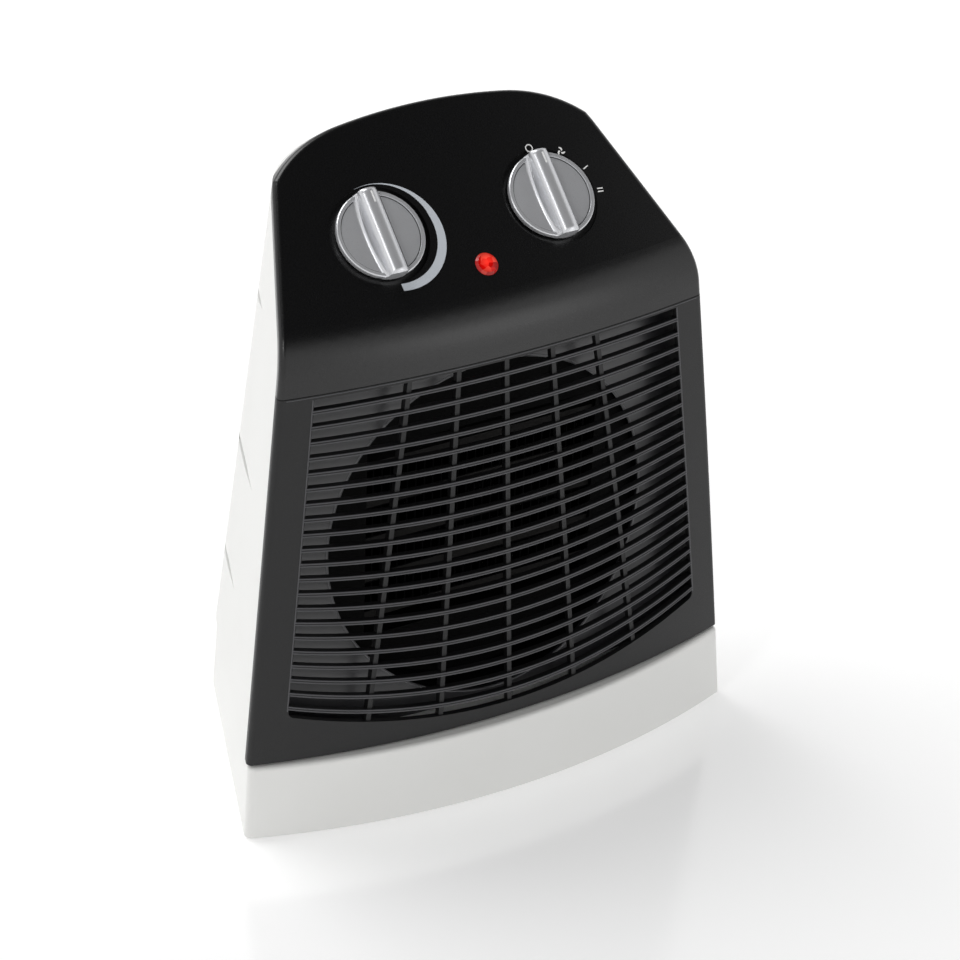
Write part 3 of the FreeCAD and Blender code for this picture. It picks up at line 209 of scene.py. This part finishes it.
# Matt, with almost no highlight.
foot_rubber, tree, shader = new_material("black rubber, pressed", IOR=1.52)
place, _ = grain(tree, shader, 0.4, 0.04, 0.7, 0.85)
mottle(tree, shader, place, "#26262A", "#1C1C1E", 4.0)
dress(foot_rubber, "rubber_feet")

# Bright bluish metal with faint clouds from the plating bath.
zinc, tree, shader = new_material("zinc plated steel, passivated", Metallic=1.0)
place, _ = grain(tree, shader, 0.6, 0.008, 0.26, 0.42)
mottle(tree, shader, place, "#C9CCD0", "#A9AFB4", 6.0)
dress(zinc, "base_screws", "casing_screws", "swivel_screws", "swivel_retainer", "swing_arm",
      "swing_motor", "front_bracket", "rear_bracket", "thermal_cutout", "thermal_fuse",
      "motor_shaft", "fan_clip", "thermostat_body")

# Slick and milky.
acetal, tree, shader = new_material("white acetal, moulded", IOR=1.48)
place, _ = grain(tree, shader, 0.5, 0.01, 0.3, 0.4)
mottle(tree, shader, place, "#F2EFE8", "#E8E4DA", 12.0)
dress(acetal, "turntable_ring", "swing_crank", "tip_plunger", "selector_shaft", "terminal_block")

# ------------------------------------------------------------------ head casing
# The tapering rear shell and the floor that carries the swivel.
# The same white ABS as the base, from one batch of granules.
dress(white_abs, "rear_casing", "head_floor")

# ------------------------------------------------------------------ front grille
# One moulding: a frame, twenty-one sagging bars and five ribs set a little behind them.
# Black ABS with a spark-eroded grain, which scatters light to a dark grey sheen.
black_abs, tree, shader = new_material("black ABS, spark-eroded grain", IOR=1.47)
place, _ = grain(tree, shader, 0.45, 0.05, 0.42, 0.56)
mottle(tree, shader, place, "#131314", "#0F0F10", 25.0)
dress(black_abs, "front_grille", "swing_button", "swing_switch", "tip_switch", "cord_gland")

# Each bar has a rounded lip along its upper and its lower front edge, moulded with it.
# The lips catch the light as two fine lines with a darker groove between them.
BAR_COUNT, FIRST_BAR, BAR_PITCH, BAR_HALF = 21, 176.1, 6.68, 0.85
FIRST_SAG, LAST_SAG, SAG_REACH = 0.5, 12.5, 89.0
HALF_AT_TOP, HALF_AT_LOW, TOP_LEVEL, LOW_LEVEL = 77.8, 91.0, 181.6, 50.3
LIP_RADIUS, LIP_SINK, LIP_OVERLAP = 0.36, 0.12, 0.3
SIDE_LINE_RADIUS, SEAM_LINE_RADIUS, LINE_SINK, SIDE_LINE_AWAY = 0.3, 0.26, 0.14, 0.45


def skin_tree(mesh):
    """A mesh's faces, ready for finding places on them."""
    return BVHTree.FromPolygons([v.co for v in mesh.vertices], [p.vertices for p in mesh.polygons])


def front_spot(tree_of_faces, x, z, sink):
    """The place on a face's front at x and z in mm, sunk in a little, or None."""
    start = Vector((x * MM, -1.0, z * MM))
    hit = tree_of_faces.ray_cast(start, Vector((0, 1, 0)))[0]
    return None if hit is None else hit + Vector((0, sink * MM, 0))


def skin_rings(bm, rings):
    """Joins matching rings of corners into one closed skin."""
    for near, following in zip(rings, rings[1:]):
        for k in range(len(near)):
            j = (k + 1) % len(near)
            bm.faces.new((near[k], near[j], following[j], following[k]))
    bm.faces.new(rings[0])
    bm.faces.new(list(reversed(rings[-1])))


def sweep(bm, spots, radius, sides=8):
    """A round bead along a line of places, closed at its ends; None places are left out."""
    spots = [spot for spot in spots if spot is not None]
    rings = []
    for i, spot in enumerate(spots):
        ahead = (spots[min(i + 1, len(spots) - 1)] - spots[max(i - 1, 0)]).normalized()
        out = ahead.cross(Vector((0, 1, 0))).normalized()
        depth = out.cross(ahead)
        rings.append([bm.verts.new(spot + (out * math.cos(a) + depth * math.sin(a)) * radius)
                      for a in (2 * math.pi * k / sides for k in range(sides))])
    skin_rings(bm, rings)


def opening_half(z):
    """Half the opening's width at a height, in mm."""
    fall = (TOP_LEVEL - z) / (TOP_LEVEL - LOW_LEVEL)
    return HALF_AT_TOP + (HALF_AT_LOW - HALF_AT_TOP) * fall


def finish_mesh(bm, name, material, smooth_angle=32.0):
    """Turns a bmesh into a linked, smooth-shaded piece."""
    bmesh.ops.remove_doubles(bm, verts=bm.verts, dist=1e-7)
    bmesh.ops.recalc_face_normals(bm, faces=bm.faces)
    mesh = bpy.data.meshes.new(name)
    bm.to_mesh(mesh)
    bm.free()
    mesh.materials.append(material)
    mesh.shade_smooth()
    mesh.set_sharp_from_angle(angle=math.radians(smooth_angle))
    piece = bpy.data.objects.new(name, mesh)
    scene.collection.objects.link(piece)
    return piece


# Lighter grey than the grille: painted highlight lines along the bar lips and edges, standing in for the
# light they catch.
lip_highlight_abs, tree, shader = new_material("black ABS, lighter for painted highlight lines", IOR=1.53)
place, _ = grain(tree, shader, 0.3, 0.01, 0.30, 0.38)
mottle(tree, shader, place, "#4A4A4D", "#3C3C3F", 12.0)
grille_tree = skin_tree(frame["nodes"]["front_grille"].data)
bm = bmesh.new()
for bar in range(BAR_COUNT):
    middle = FIRST_BAR - bar * BAR_PITCH
    sag = FIRST_SAG + (LAST_SAG - FIRST_SAG) * bar / (BAR_COUNT - 1)
    half = opening_half(middle + sag) + LIP_OVERLAP
    for edge_z in (BAR_HALF - LIP_RADIUS, LIP_RADIUS - BAR_HALF):
        across = [-half + 2 * half * step / 60 for step in range(61)]
        sweep(bm, [front_spot(grille_tree, x, middle + sag * (x / SAG_REACH) ** 2 + edge_z, LIP_SINK)
                   for x in across], LIP_RADIUS * MM)

# The opening's side edges and the seam's lower edge get the same thin bead with the same painted highlight
# line.
SEAM_LINE, SEAM_REACH, SIDE_LINE_LOW = 182.6, 98.0, 54.0
heights = [SIDE_LINE_LOW + (TOP_LEVEL - SIDE_LINE_LOW) * step / 40 for step in range(41)]
for side in (-1, 1):
    sweep(bm, [front_spot(grille_tree, side * (opening_half(z) + SIDE_LINE_AWAY), z, LINE_SINK)
               for z in heights], SIDE_LINE_RADIUS * MM)
sweep(bm, [front_spot(grille_tree, SEAM_REACH * (step / 30 - 1), SEAM_LINE, LINE_SINK)
           for step in range(61)], SEAM_LINE_RADIUS * MM)
bar_lips = finish_mesh(bm, "bar_lips", lip_highlight_abs, 60.0)
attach(bar_lips, "head")

# ------------------------------------------------------------------ control panel
# The sloping cover that carries the knobs and the lamp. Black ABS from a
# finer-grained tool than the grille, so it looks deeper and a little glossier.
panel_abs, tree, shader = new_material("black ABS, fine satin", IOR=1.53)
place, _ = grain(tree, shader, 0.3, 0.008, 0.26, 0.32)
mottle(tree, shader, place, "#080809", "#060607", 40.0)
dress(panel_abs, "control_panel")

# ------------------------------------------------------------------ knobs
# Two identical dials: a flat disc with a bevelled rim and a half-round grip across it,
# hollowed on one flank. ABS sprayed with silver lacquer, with a painted pointer and thin dark
# bands of painted shade beside the grip and in the step inside the rim. Each cap stands for the plain knob of
# the frame.
joints = {joint["name"]: joint for joint in frame["record"]["behaviour"]["joints"]}


def dial_frame(joint_name):
    """Matrix from a dial's own axes (x right, y up the slope, z outwards) to the model's."""
    joint = joints[joint_name]
    outwards = -Vector(joint["axis"]).normalized()
    across = Vector((1, 0, 0))
    up_slope = outwards.cross(across).normalized()
    turn_part = Matrix((across, up_slope, outwards)).transposed().to_4x4()
    return Matrix.Translation(Vector(joint["pos_m"])) @ turn_part


def lathe(bm, profile, steps):
    """Turns a list of (radius, height) about Z into a closed skin."""
    rings = []
    for radius, height in profile:
        if radius < 1e-9:
            rings.append([bm.verts.new((0, 0, height))])
            continue
        rings.append([bm.verts.new((radius * math.cos(a), radius * math.sin(a), height))
                      for a in (2 * math.pi * i / steps for i in range(steps))])
    for low, high in zip(rings, rings[1:]):
        for i in range(steps):
            j = (i + 1) % steps
            corners = [low[i % len(low)], low[j % len(low)], high[j % len(high)], high[i % len(high)]]
            unique = list(dict.fromkeys(corners))
            if len(unique) > 2:
                bm.faces.new(unique)


KNOB_RADIUS, KNOB_LOW, KNOB_TOP = 17.3, -0.6, 6.6
RIM_HEIGHT, FACE_DROP, TURN_STEPS = 2.2, 0.75, 128
GRIP_HALF, GRIP_LONG, GRIP_ROOT, WALL_RISE = 3.8, 17.3, 0.4, 2.1
END_FROM, END_FALL = 0.90, 0.35
FLUTE_WIDE, FLUTE_REACH, FLUTE_DEEP = 1.7, 15.8, 1.6
RIDGE_AWAY, RIDGE_RISE, RIDGE_END_RISE, RIDGE_FOOT = 0.35, 0.95, 0.55, 1.6

# Fine metal flakes under a clear coat: an even grey sheen with soft-edged highlights.
knob_lacquer, tree, shader = new_material("silver lacquer, sprayed", Metallic=0.62,
                                          Coat_Weight=0.25, Coat_Roughness=0.25)
place, _ = grain(tree, shader, 0.22, 0.004, 0.27, 0.35)
mottle(tree, shader, place, "#E2E3E6", "#D8D9DC", 9.0)


def knob_disc():
    """The round disc, with a bevelled rim and a step just inside it."""
    r, top = KNOB_RADIUS, RIM_HEIGHT
    profile = [(0, KNOB_LOW), (r - 0.6, KNOB_LOW), (r - 0.2, KNOB_LOW + 0.5), (r, top - 0.8),
               (r - 0.12, top - 0.35), (r - 0.45, top - 0.05), (r - 1.2, top), (r - 1.6, top - 0.05),
               (r - 1.75, top - 0.65), (r - 2.1, top - 0.7), (r * 0.5, top - FACE_DROP), (0, top - 0.8)]
    bm = bmesh.new()
    lathe(bm, [(a * MM, b * MM) for a, b in profile], TURN_STEPS)
    return bm


def grip_section(y):
    """Outline of the grip across the knob at a place along it, from the flute over the top."""
    far = abs(y) / GRIP_LONG
    past = max((far - END_FROM) / (1 - END_FROM), 0)
    face = RIM_HEIGHT - FACE_DROP
    top = face + (KNOB_TOP - face) * math.sqrt(max(1 - past ** 2 * END_FALL, 0.0))
    flute = max(1 - (y / FLUTE_REACH) ** 2, 0.0)
    ridge_x = -GRIP_HALF - RIDGE_AWAY - FLUTE_WIDE * flute
    ridge_z = face + RIDGE_RISE + RIDGE_END_RISE * (1 - flute)
    foot_x, foot_z = ridge_x - RIDGE_FOOT, face + 0.02
    spots = [(foot_x, KNOB_LOW + GRIP_ROOT), (foot_x, foot_z)]
    for i in range(1, 6):
        t = i / 6
        spots.append((ridge_x - RIDGE_FOOT * (1 - t), foot_z + (ridge_z - face) * t ** 2.2))
    spots.append((ridge_x, ridge_z))
    wall_z = face + WALL_RISE
    for i in range(1, 10):
        t = i / 10
        dip = math.sin(t * math.pi) ** 0.8 * FLUTE_DEEP * flute
        spots.append((ridge_x + (-GRIP_HALF - ridge_x) * t, ridge_z + (wall_z - ridge_z) * t ** 2 - dip))
    for i in range(25):
        a = math.pi * (1 - i / 24)
        spots.append((GRIP_HALF * math.cos(a), wall_z + (top - wall_z) * math.sin(a)))
    spots += [(GRIP_HALF, face - 0.5), (GRIP_HALF, KNOB_LOW + GRIP_ROOT)]
    return spots


def knob_grip():
    """The grip along the whole knob, from matching outlines."""
    bm = bmesh.new()
    stations = [GRIP_LONG * math.sin(math.pi / 2 * s / 28) for s in range(-28, 29)]
    rows = [[bm.verts.new((x * MM, y * MM, z * MM)) for x, z in grip_section(y)] for y in stations]
    skin_rings(bm, rows)
    return bm


def apply_modifiers(piece):
    """Bakes a piece's modifiers into its mesh."""
    graph = bpy.context.evaluated_depsgraph_get()
    made = bpy.data.meshes.new_from_object(piece.evaluated_get(graph))
    piece.modifiers.clear()
    piece.data = made


POINTER_SIDE, POINTER_FIRST, POINTER_LAST, POINTER_HALF = 0.3, 10.9, 15.4, 0.34
# The shade line lies beside the grip where its shadow falls, not at the grip's foot.
SHADE_LINE_REACH, SHADE_LINE_AWAY, STEP_RADIUS, LINE_HALF = 15.2, 1.5, 15.4, 0.17
LINE_ROOT, LINE_PROUD, STEP_SPANS = 0.25, 0.05, ((21.5, 158.5), (202.0, 338.0))

# Opaque and flat, the brightest mark on the panel.
pointer_paint, tree, shader = new_material("white paint, wiped into a groove", IOR=1.5)
place, _ = grain(tree, shader, 0.2, 0.004, 0.4, 0.5)
mottle(tree, shader, place, "#FBFBFA", "#F2F2F0", 2.0)

# Dark grey bands laid on the knob: painted shade beside the grip and in the rim step, where shadow falls.
painted_line_shade, tree, shader = new_material("dark grey, painted shade line", IOR=1.53)
place, _ = grain(tree, shader, 0.3, 0.01, 0.55, 0.7)
mottle(tree, shader, place, "#2C2C2E", "#232325", 3.0)


def lay_line(disc, joint_name, name, material, spots, half):
    """A closed thin band laid on a knob's skin along a line of (x, y) places in mm."""
    to_model = dial_frame(joint_name)
    skin = skin_tree(disc.data)
    down = -(to_model.to_3x3() @ Vector((0, 0, 1)))
    bm = bmesh.new()
    rows = []
    for i, (x, y) in enumerate(spots):
        after, before = spots[min(i + 1, len(spots) - 1)], spots[max(i - 1, 0)]
        run = Vector((after[0] - before[0], after[1] - before[1])).normalized()
        row = []
        for side, lift in ((-1, -LINE_ROOT), (-1, LINE_PROUD), (1, LINE_PROUD), (1, -LINE_ROOT)):
            above_spot = Vector(((x + side * half * run.y) * MM, (y - side * half * run.x) * MM, 20 * MM))
            hit = skin.ray_cast(to_model @ above_spot, down)[0]
            row.append(bm.verts.new(hit - down * lift * MM))
        rows.append(row)
    skin_rings(bm, rows)
    return finish_mesh(bm, name, material)


def mark_knob(disc, node, joint_name):
    """The painted pointer, a painted shade line beside the grip and painted shade in the step inside the rim.
    """
    pointer = [(POINTER_SIDE, POINTER_FIRST + (POINTER_LAST - POINTER_FIRST) * i / 6) for i in range(7)]
    shade_spots = [(GRIP_HALF + SHADE_LINE_AWAY, SHADE_LINE_REACH * (i / 20 - 1)) for i in range(41)]
    arcs = []
    for first, last in STEP_SPANS:
        turns = [math.radians(first + (last - first) * i / 48) for i in range(49)]
        arcs.append([(STEP_RADIUS * math.sin(a), STEP_RADIUS * math.cos(a)) for a in turns])
    for name, material, spots, half, slot in (
            ("pointer", pointer_paint, pointer, POINTER_HALF, "white_acetal"),
            ("shade_line_by_grip", painted_line_shade, shade_spots, LINE_HALF, "grey_plastic"),
            ("step_shade_right", painted_line_shade, arcs[0], LINE_HALF * 0.8, "grey_plastic"),
            ("step_shade_left", painted_line_shade, arcs[1], LINE_HALF * 0.8, "grey_plastic")):
        line = lay_line(disc, joint_name, f"{node}_{name}", material, spots, half)
        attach(line, node)


SOFTENED, SOFTENED_FROM, SHARP_FROM = 0.12, 38, 30


def build_knob(node, joint_name):
    """Disc and grip welded into one cap, edges softened, laid on its spindle."""
    disc = finish_mesh(knob_disc(), f"{node}_cap", knob_lacquer)
    grip = finish_mesh(knob_grip(), f"{node}_grip", knob_lacquer)
    trim = bmesh.new()
    reach, tall = GRIP_LONG * MM, 20 * MM
    lathe(trim, [(0, 0), (reach, 0), (reach, tall), (0, tall)], TURN_STEPS)
    limit = finish_mesh(trim, f"{node}_limit", knob_lacquer)
    clip = grip.modifiers.new("round ends", "BOOLEAN")
    clip.operation = "INTERSECT"
    clip.object = limit
    clip.solver = "EXACT"
    bpy.context.view_layer.update()
    apply_modifiers(grip)
    weld = disc.modifiers.new("grip", "BOOLEAN")
    weld.operation = "UNION"
    weld.object = grip
    weld.solver = "EXACT"
    bpy.context.view_layer.update()
    apply_modifiers(disc)
    bpy.data.objects.remove(grip)
    bpy.data.objects.remove(limit)
    disc.data.shade_smooth()
    disc.data.set_sharp_from_angle(angle=math.radians(SHARP_FROM))
    soften = disc.modifiers.new("softened edges", "BEVEL")
    soften.width = SOFTENED * MM
    soften.segments = 2
    soften.limit_method = "ANGLE"
    soften.angle_limit = math.radians(SOFTENED_FROM)
    bpy.context.view_layer.update()
    apply_modifiers(disc)
    disc.data.transform(dial_frame(joint_name))
    mark_knob(disc, node, joint_name)
    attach(disc, node)
    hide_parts(node)


for node, joint_name in (("thermostat_knob", "thermostat_turn"), ("selector_knob", "selector_turn")):
    build_knob(node, joint_name)

# ------------------------------------------------------------------ printed dial marks
# Pad-printed marks on the panel: a swelling crescent for heat in light grey ink, and four
# small signs for off, cool air, half and full heat in white paint.
INK_PROUD, INK_ROOT, PANEL_BOW = 0.06, 0.3, 0.540

# A thin matt film, a little bluer than the paint.
dial_ink, tree, shader = new_material("grey pad-print ink", IOR=1.5)
place, _ = grain(tree, shader, 0.2, 0.004, 0.45, 0.6)
mottle(tree, shader, place, "#C9CED4", "#BFC5CC", 5.0)


def on_panel(frame_matrix, x, y, lift):
    """A dial-frame place in mm, laid on the bowed panel."""
    spot = frame_matrix @ Vector((x * MM, y * MM, lift * MM))
    centre_x = frame_matrix.translation.x
    spot.y += (spot.x ** 2 - centre_x ** 2) / (2 * PANEL_BOW)
    return spot


def ink_strip(bm, frame_matrix, inner, outer):
    """A closed thin band of ink between two matching lines of (x, y) places."""
    rows = []
    for near, far in zip(inner, outer):
        corners = ((near, -INK_ROOT), (near, INK_PROUD), (far, INK_PROUD), (far, -INK_ROOT))
        rows.append([bm.verts.new(on_panel(frame_matrix, *place, lift)) for place, lift in corners])
    skin_rings(bm, rows)


def clock(radius, degrees):
    """A place at a clock angle: zero is up the slope, positive is clockwise."""
    return radius * math.sin(math.radians(degrees)), radius * math.cos(math.radians(degrees))


def arc_reach(middle, radius, degrees):
    """How far an off-centre circle is from the dial's axis at a clock angle."""
    along_x, along_y = clock(1.0, degrees)
    lean = middle[0] * along_x + middle[1] * along_y
    return lean + math.sqrt(radius ** 2 - middle[0] ** 2 - middle[1] ** 2 + lean ** 2)


heat_frame = dial_frame("thermostat_turn")
SCALE_FIRST, SCALE_LAST, SCALE_SWELL, SCALE_TIP = -7.5, 177.5, 88.0, 0.12
OUTER_MIDDLE, OUTER_RADIUS = (3.71, -1.14), 21.63
INNER_MIDDLE, INNER_RADIUS = (2.51, -0.17), 19.69
bm = bmesh.new()
angles = [SCALE_FIRST + (SCALE_LAST - SCALE_FIRST) * i / 72 for i in range(73)]
inner, outer = [], []
for angle in angles:
    far = arc_reach(OUTER_MIDDLE, OUTER_RADIUS, angle)
    swell = SCALE_TIP + (1 - SCALE_TIP) * min((angle - SCALE_FIRST) / SCALE_SWELL, 1.0) ** 1.3
    inner.append(clock(far - swell * (far - arc_reach(INNER_MIDDLE, INNER_RADIUS, angle)), angle))
    outer.append(clock(far, angle))
ink_strip(bm, heat_frame, inner, outer)
scale_mark = finish_mesh(bm, "thermostat_scale", dial_ink)
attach(scale_mark, "head")

switch_frame = dial_frame("selector_turn")
RING_SPOT, FAN_SPOT = (20.3, -1.6), (19.9, 37.6)
LOW_SPOT, HIGH_SPOT = (20.9, 70.5), (22.2, 98.2)
RING_INNER, RING_OUTER, STROKE_LONG, STROKE_HALF, STROKE_APART = 1.2, 1.62, 1.25, 0.22, 0.62
BLADES, BLADE_START, BLADE_FROM, BLADE_LONG, BLADE_SWEEP, BLADE_WIDE = 3, 0.5, 0.3, 1.5, 1.2, 0.5
bm = bmesh.new()
cx, cy = clock(*RING_SPOT)
ring = [(math.cos(2 * math.pi * i / 32), math.sin(2 * math.pi * i / 32)) for i in range(33)]
ink_strip(bm, switch_frame, [(cx + RING_INNER * a, cy + RING_INNER * b) for a, b in ring],
          [(cx + RING_OUTER * a, cy + RING_OUTER * b) for a, b in ring])
cx, cy = clock(*FAN_SPOT)
for blade in range(BLADES):
    start = 2 * math.pi * blade / BLADES + BLADE_START
    inner, outer = [], []
    for i in range(9):
        t = i / 8
        radius = BLADE_FROM + BLADE_LONG * t
        lean = start + BLADE_SWEEP * t
        width = BLADE_WIDE * math.sin(math.pi * (0.15 + 0.8 * t))
        inner.append((cx + radius * math.cos(lean - width), cy + radius * math.sin(lean - width)))
        outer.append((cx + radius * math.cos(lean + width), cy + radius * math.sin(lean + width)))
    ink_strip(bm, switch_frame, inner, outer)
for (reach, degrees), offsets in ((LOW_SPOT, (0.0,)), (HIGH_SPOT, (-STROKE_APART, STROKE_APART))):
    x0, y0 = clock(reach - STROKE_LONG, degrees)
    x1, y1 = clock(reach + STROKE_LONG, degrees)
    sx, sy = clock(1.0, degrees + 90)
    for offset in offsets:
        near, off = offset - STROKE_HALF, offset + STROKE_HALF
        ink_strip(bm, switch_frame, [(x0 + sx * near, y0 + sy * near), (x1 + sx * near, y1 + sy * near)],
                  [(x0 + sx * off, y0 + sy * off), (x1 + sx * off, y1 + sy * off)])
dial_marks = finish_mesh(bm, "selector_marks", pointer_paint)
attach(dial_marks, "head")

# ------------------------------------------------------------------ indicator
# Clear red polycarbonate lens over a neon lamp. It is faceted on the inside,
# so the lamp breaks up into bright and dark patches.
lens_low, lens_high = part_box("indicator_lens")
lens_middle = [(low + high) / 2 for low, high in zip(lens_low, lens_high)]
GLOW_CORE, GLOW_RIM, FACET_SIZE, LAMP_GLOW = 3.2, 5.4, 2.3256, 1.25
# Deep red at the rim, glowing where the lamp sits, broken up by the facets.
lens_red, tree, shader = new_material("red polycarbonate, faceted", IOR=1.45, Roughness=0.08)
place = add(tree, "ShaderNodeTexCoord").outputs["Object"]
facets = add(tree, "ShaderNodeTexVoronoi",
             {"Vector": place, "Scale": 1 / (FACET_SIZE * MM), "Randomness": 1.0},
             feature="F1")
shine = add(tree, "ShaderNodeValToRGB", {"Fac": facets.outputs["Color"]})
shine.color_ramp.elements[0].position = 0.10
shine.color_ramp.elements[0].color = linear("#8A0402")
shine.color_ramp.elements[1].position = 0.80
shine.color_ramp.elements[1].color = linear("#FF5040")
middle = shine.color_ramp.elements.new(0.50)
middle.color = linear("#E00503")
away = add(tree, "ShaderNodeVectorMath", {0: place, 1: lens_middle}, operation="DISTANCE")
dimming = add(tree, "ShaderNodeMapRange",
              {"Value": away.outputs["Value"], "From Min": GLOW_CORE * MM, "From Max": GLOW_RIM * MM,
               "To Min": 1.0, "To Max": 0.10})
glow = add(tree, "ShaderNodeMix", {"Factor": dimming.outputs["Result"], "A": linear("#3A0000"),
                                   "B": shine.outputs["Color"]}, data_type="RGBA")
tree.links.new(glow.outputs["Result"], shader.inputs["Emission Color"])
shader.inputs["Base Color"].default_value = linear("#5A0402")
shader.inputs["Emission Strength"].default_value = LAMP_GLOW
dress(lens_red, "indicator_lens")

# Clear glass tube with the orange discharge inside.
lamp_glass, tree, shader = new_material("neon lamp glass", IOR=1.5, Transmission_Weight=0.7)
place, _ = grain(tree, shader, 1.0, 0.004, 0.05, 0.12)
mottle(tree, shader, place, "#FFC9A8", "#F2B48E", 3.0)
dress(lamp_glass, "neon_lamp")

# ------------------------------------------------------------------ air path
# Dark sheet-metal plate with a round opening, and the duct behind it. The plate
# is lacquered steel; the duct and the element frame are heat-resistant PBT.
# Stoved black lacquer on flat sheet: a dark grey gloss with soft reflections.
shield_steel, tree, shader = new_material("steel sheet, dark lacquered", IOR=1.9)
place, _ = grain(tree, shader, 0.6, 0.01, 0.30, 0.36)
mottle(tree, shader, place, "#2A2A2D", "#222225", 18.0)
dress(shield_steel, "heat_shield")

# The plate's rim is folded over, and the fold catches a fine line of light.
AIR_LEVEL, RIM_RADIUS, RIM_BEAD, RIM_SINK = 107.0, 69.2, 0.32, 0.1
shield_tree = skin_tree(frame["nodes"]["heat_shield"].data)
turns = [2 * math.pi * step / 144 for step in range(145)]
bm = bmesh.new()
sweep(bm, [front_spot(shield_tree, RIM_RADIUS * math.cos(a), AIR_LEVEL + RIM_RADIUS * math.sin(a), RIM_SINK)
           for a in turns], RIM_BEAD * MM)
# Lighter grey than the plate: a painted highlight line along the fold.
rim_steel, tree, shader = new_material("steel edge, lighter for a painted highlight line", IOR=1.9)
place, _ = grain(tree, shader, 0.6, 0.01, 0.26, 0.34)
mottle(tree, shader, place, "#5A5A5E", "#48484B", 8.0)
shield_rim = finish_mesh(bm, "shield_rim", rim_steel, 60.0)
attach(shield_rim, "head")

# Matt black PBT, darkened to near black with its reflection cut: painted shade for the dark inside, where
# almost no light gets in and out again.
duct_pbt, tree, shader = new_material("black PBT, darkened for painted shade", IOR=1.38, Specular_IOR_Level=0.15)
place, _ = grain(tree, shader, 0.5, 0.03, 0.55, 0.7)
mottle(tree, shader, place, "#030303", "#020202", 20.0)
dress(duct_pbt, "duct_ring", "heater_frame", "motor_mount", "fan_impeller", "selector_switch")

# Dull dark brown stone with an open, grainy surface, darkened further as painted shade for the dark inside of
# the duct.
element_ceramic, tree, shader = new_material("PTC ceramic, darkened for painted shade", IOR=1.6, Specular_IOR_Level=0.2)
place, _ = grain(tree, shader, 0.3, 0.03, 0.6, 0.8)
mottle(tree, shader, place, "#12100E", "#0B0A09", 3.0)
dress(element_ceramic, "ceramic_bars")

# Near-black metal with short streaks of gloss: the aluminium's colour is replaced by painted shade for the
# dark inside of the duct.
fin_metal, tree, shader = new_material("aluminium strip, blackened for painted shade", Metallic=1.0)
place, _ = grain(tree, shader, 0.4, 0.01, 0.3, 0.45)
mottle(tree, shader, place, "#0D0D0E", "#050505", 2.5)
dress(fin_metal, "heater_fins", "motor_rotor")

# The sheet edges show as fine ribs. Real sheets are 0.5 mm thick.
SHEET_THICK = 0.5
core_steel, tree, shader = new_material("silicon steel, stacked sheets", Metallic=1.0, Roughness=0.5)
place = add(tree, "ShaderNodeTexCoord").outputs["Object"]
sheets = add(tree, "ShaderNodeTexWave",
             {"Vector": place, "Scale": 3.14 / (20 * SHEET_THICK * MM), "Distortion": 0.4},
             bands_direction="Y")
bump = add(tree, "ShaderNodeBump", {"Height": sheets.outputs["Fac"], "Distance": 0.1 * MM})
tree.links.new(bump.outputs["Normal"], shader.inputs["Normal"])
mottle(tree, shader, place, "#7D8084", "#5F6266", 8.0)
dress(core_steel, "stator_core")

# Wound wire: warm metal under clear enamel, ribbed turn by turn and drawn coarser than 0.3 mm wire.
coil_wire, tree, shader = new_material("enamelled copper winding", Metallic=0.8, Roughness=0.35)
place = add(tree, "ShaderNodeTexCoord").outputs["Object"]
turns = add(tree, "ShaderNodeTexWave", {"Vector": place, "Scale": 160.0, "Distortion": 1.5},
            bands_direction="Z")
bump = add(tree, "ShaderNodeBump", {"Height": turns.outputs["Fac"], "Distance": 0.2 * MM})
tree.links.new(bump.outputs["Normal"], shader.inputs["Normal"])
mottle(tree, shader, place, "#B8642F", "#8A4319", 4.0)
dress(coil_wire, "motor_coil")

# Porous and oily, so its highlights are broken and warm.
bronze, tree, shader = new_material("sintered bronze, oiled", Metallic=1.0)
place, _ = grain(tree, shader, 0.2, 0.02, 0.35, 0.5)
mottle(tree, shader, place, "#B08D57", "#8E6E3F", 2.0)
dress(bronze, "front_bush", "rear_bush", "thermostat_shaft")

# ------------------------------------------------------------------ final update
# Brings the scene up to date.
bpy.context.view_layer.update()
